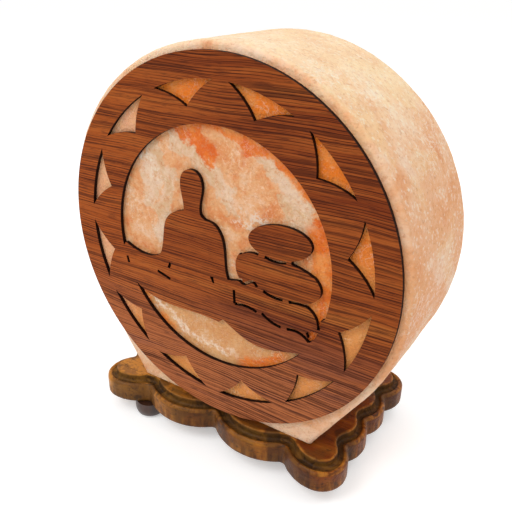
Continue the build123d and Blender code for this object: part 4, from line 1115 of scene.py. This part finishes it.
def add_floor():
    """Pale floor that reads white where it is lit and keeps the lamp's soft shadow."""
    size = FLOOR_REACH
    corners = [(-size, -size, 0), (size, -size, 0), (size, size, 0), (-size, size, 0)]
    floor = add_object("floor", corners, [(0, 1, 2, 3)])
    material = bpy.data.materials.new("floor")
    material.use_nodes = True
    tree = material.node_tree
    tree.nodes.clear()
    matt = tree.nodes.new("ShaderNodeBsdfDiffuse")
    matt.inputs["Color"].default_value = FLOOR_COLOUR
    glow = tree.nodes.new("ShaderNodeEmission")
    strength = tree.nodes.new("ShaderNodeMath")
    strength.operation = "MULTIPLY"
    strength.inputs[1].default_value = FLOOR_LIFT
    tree.links.new(white_to_the_eye(tree), strength.inputs[0])
    tree.links.new(strength.outputs[0], glow.inputs["Strength"])
    both = tree.nodes.new("ShaderNodeAddShader")
    output = tree.nodes.new("ShaderNodeOutputMaterial")
    tree.links.new(matt.outputs[0], both.inputs[0])
    tree.links.new(glow.outputs[0], both.inputs[1])
    tree.links.new(both.outputs[0], output.inputs["Surface"])
    floor.data.materials.append(material)


def add_world():
    """Even studio light from all round, on a white background."""
    world = bpy.data.worlds.new("studio")
    bpy.context.scene.world = world
    world.use_nodes = True
    tree = world.node_tree
    tree.nodes.clear()
    mix = tree.nodes.new("ShaderNodeMixShader")
    tree.links.new(white_to_the_eye(tree), mix.inputs["Fac"])
    for place, colour, strength in ((1, WORLD_COLOUR, WORLD_LIGHT), (2, WHITE, 1.0)):
        made = tree.nodes.new("ShaderNodeBackground")
        made.inputs["Color"].default_value = colour
        made.inputs["Strength"].default_value = strength
        tree.links.new(made.outputs[0], mix.inputs[place])
    output = tree.nodes.new("ShaderNodeOutputWorld")
    tree.links.new(mix.outputs[0], output.inputs["Surface"])


def add_lights():
    """Square softboxes, turned towards the panel's middle."""
    for name, place, side, power in SOFTBOXES:
        light = bpy.data.lights.new(name, "AREA")
        light.shape = "SQUARE"
        light.size = side
        light.energy = power
        obj = bpy.data.objects.new(name, light)
        obj.location = place
        obj.rotation_euler = (Vector(place) - PANEL_CENTRE).to_track_quat("Z", "Y").to_euler()
        bpy.context.scene.collection.objects.link(obj)


def add_camera():
    data = bpy.data.cameras.new("camera")
    data.sensor_width = SENSOR_WIDTH
    data.lens = LENS
    data.clip_start = CLIP_START
    camera = bpy.data.objects.new("camera", data)
    right = CAMERA_RIGHT.normalized()
    back = right.cross(CAMERA_UP).normalized()
    up = back.cross(right)
    turn = Matrix((right, up, back)).transposed()
    camera.matrix_world = Matrix.Translation(CAMERA_PLACE) @ turn.to_4x4()
    bpy.context.scene.collection.objects.link(camera)
    bpy.context.scene.camera = camera


# ---- the lamp ----
def main():
    """Builds the pieces that the scene replaces and gives every other node its material."""
    rock_salt(salt_paint())
    carved_stand(carved_paint())
    steel = metal_paint("steel", srgb(150, 150, 148), srgb(196, 196, 192))
    brass = metal_paint("brass", srgb(176, 138, 66), srgb(214, 178, 98))
    cap_metal = metal_paint("cap_metal", srgb(186, 186, 182), srgb(220, 220, 216), rough=0.25)
    plastic = plain_paint("holder_plastic", srgb(20, 20, 21), srgb(34, 34, 35),
                          (0.30, 0.42), 700.0, 0.04 * MM)
    screws({"steel": steel, "brass": brass})
    shell_thread(brass)
    bulb_cap_thread(cap_metal)
    ribbed_cap(plastic)
    covers = [
        (veneer_paint(), ["fretwork_panel"]),
        (foot_paint(), ["foot_front_left", "foot_front_right",
                        "foot_back_left", "foot_back_right"]),
        (steel, ["clip_band", "clip_wing_left", "clip_wing_right"]),
        (brass, ["live_terminal", "neutral_terminal", "contact_rivets", "contact_foot",
                 "contact_tongue"]),
        (metal_paint("solder", srgb(120, 120, 116), srgb(168, 168, 162), rough=0.45),
         ["bulb_contact"]),
        (metal_paint("wire", srgb(96, 92, 88), srgb(150, 146, 140), rough=0.35),
         ["bulb_leads", "bulb_filament"]),
        (glass_paint(), ["bulb_glass", "bulb_stem"]),
        (plain_paint("black_glass", srgb(14, 12, 18), srgb(30, 26, 36),
                     (0.05, 0.12), 120.0, 0.05 * MM), ["bulb_insulator"]),
        (plastic, ["holder_sleeve"]),
        (plain_paint("rubber", srgb(18, 18, 18), srgb(36, 35, 34),
                     (0.55, 0.75), 900.0, 0.06 * MM), ["cord_gland"]),
        (plain_paint("felt", srgb(14, 12, 12), srgb(46, 42, 40),
                     (0.9, 1.0), 2600.0, 0.3 * MM, Sheen_Weight=0.4), ["foot_pads"]),
        (plain_paint("adhesive", srgb(206, 206, 196), srgb(232, 232, 224),
                     (0.7, 0.85), 1500.0, 0.1 * MM), ["adhesive_pads"]),
        (plain_paint("nylon", srgb(140, 140, 134), srgb(166, 166, 160),
                     (0.45, 0.6), 500.0, 0.05 * MM), ["wall_plugs"]),
    ]
    for paint, nodes in covers:
        for node in nodes:
            cover_node(node, paint)


main()
add_floor()
add_world()
add_lights()
add_camera()
bpy.context.scene.view_settings.view_transform = "Standard"
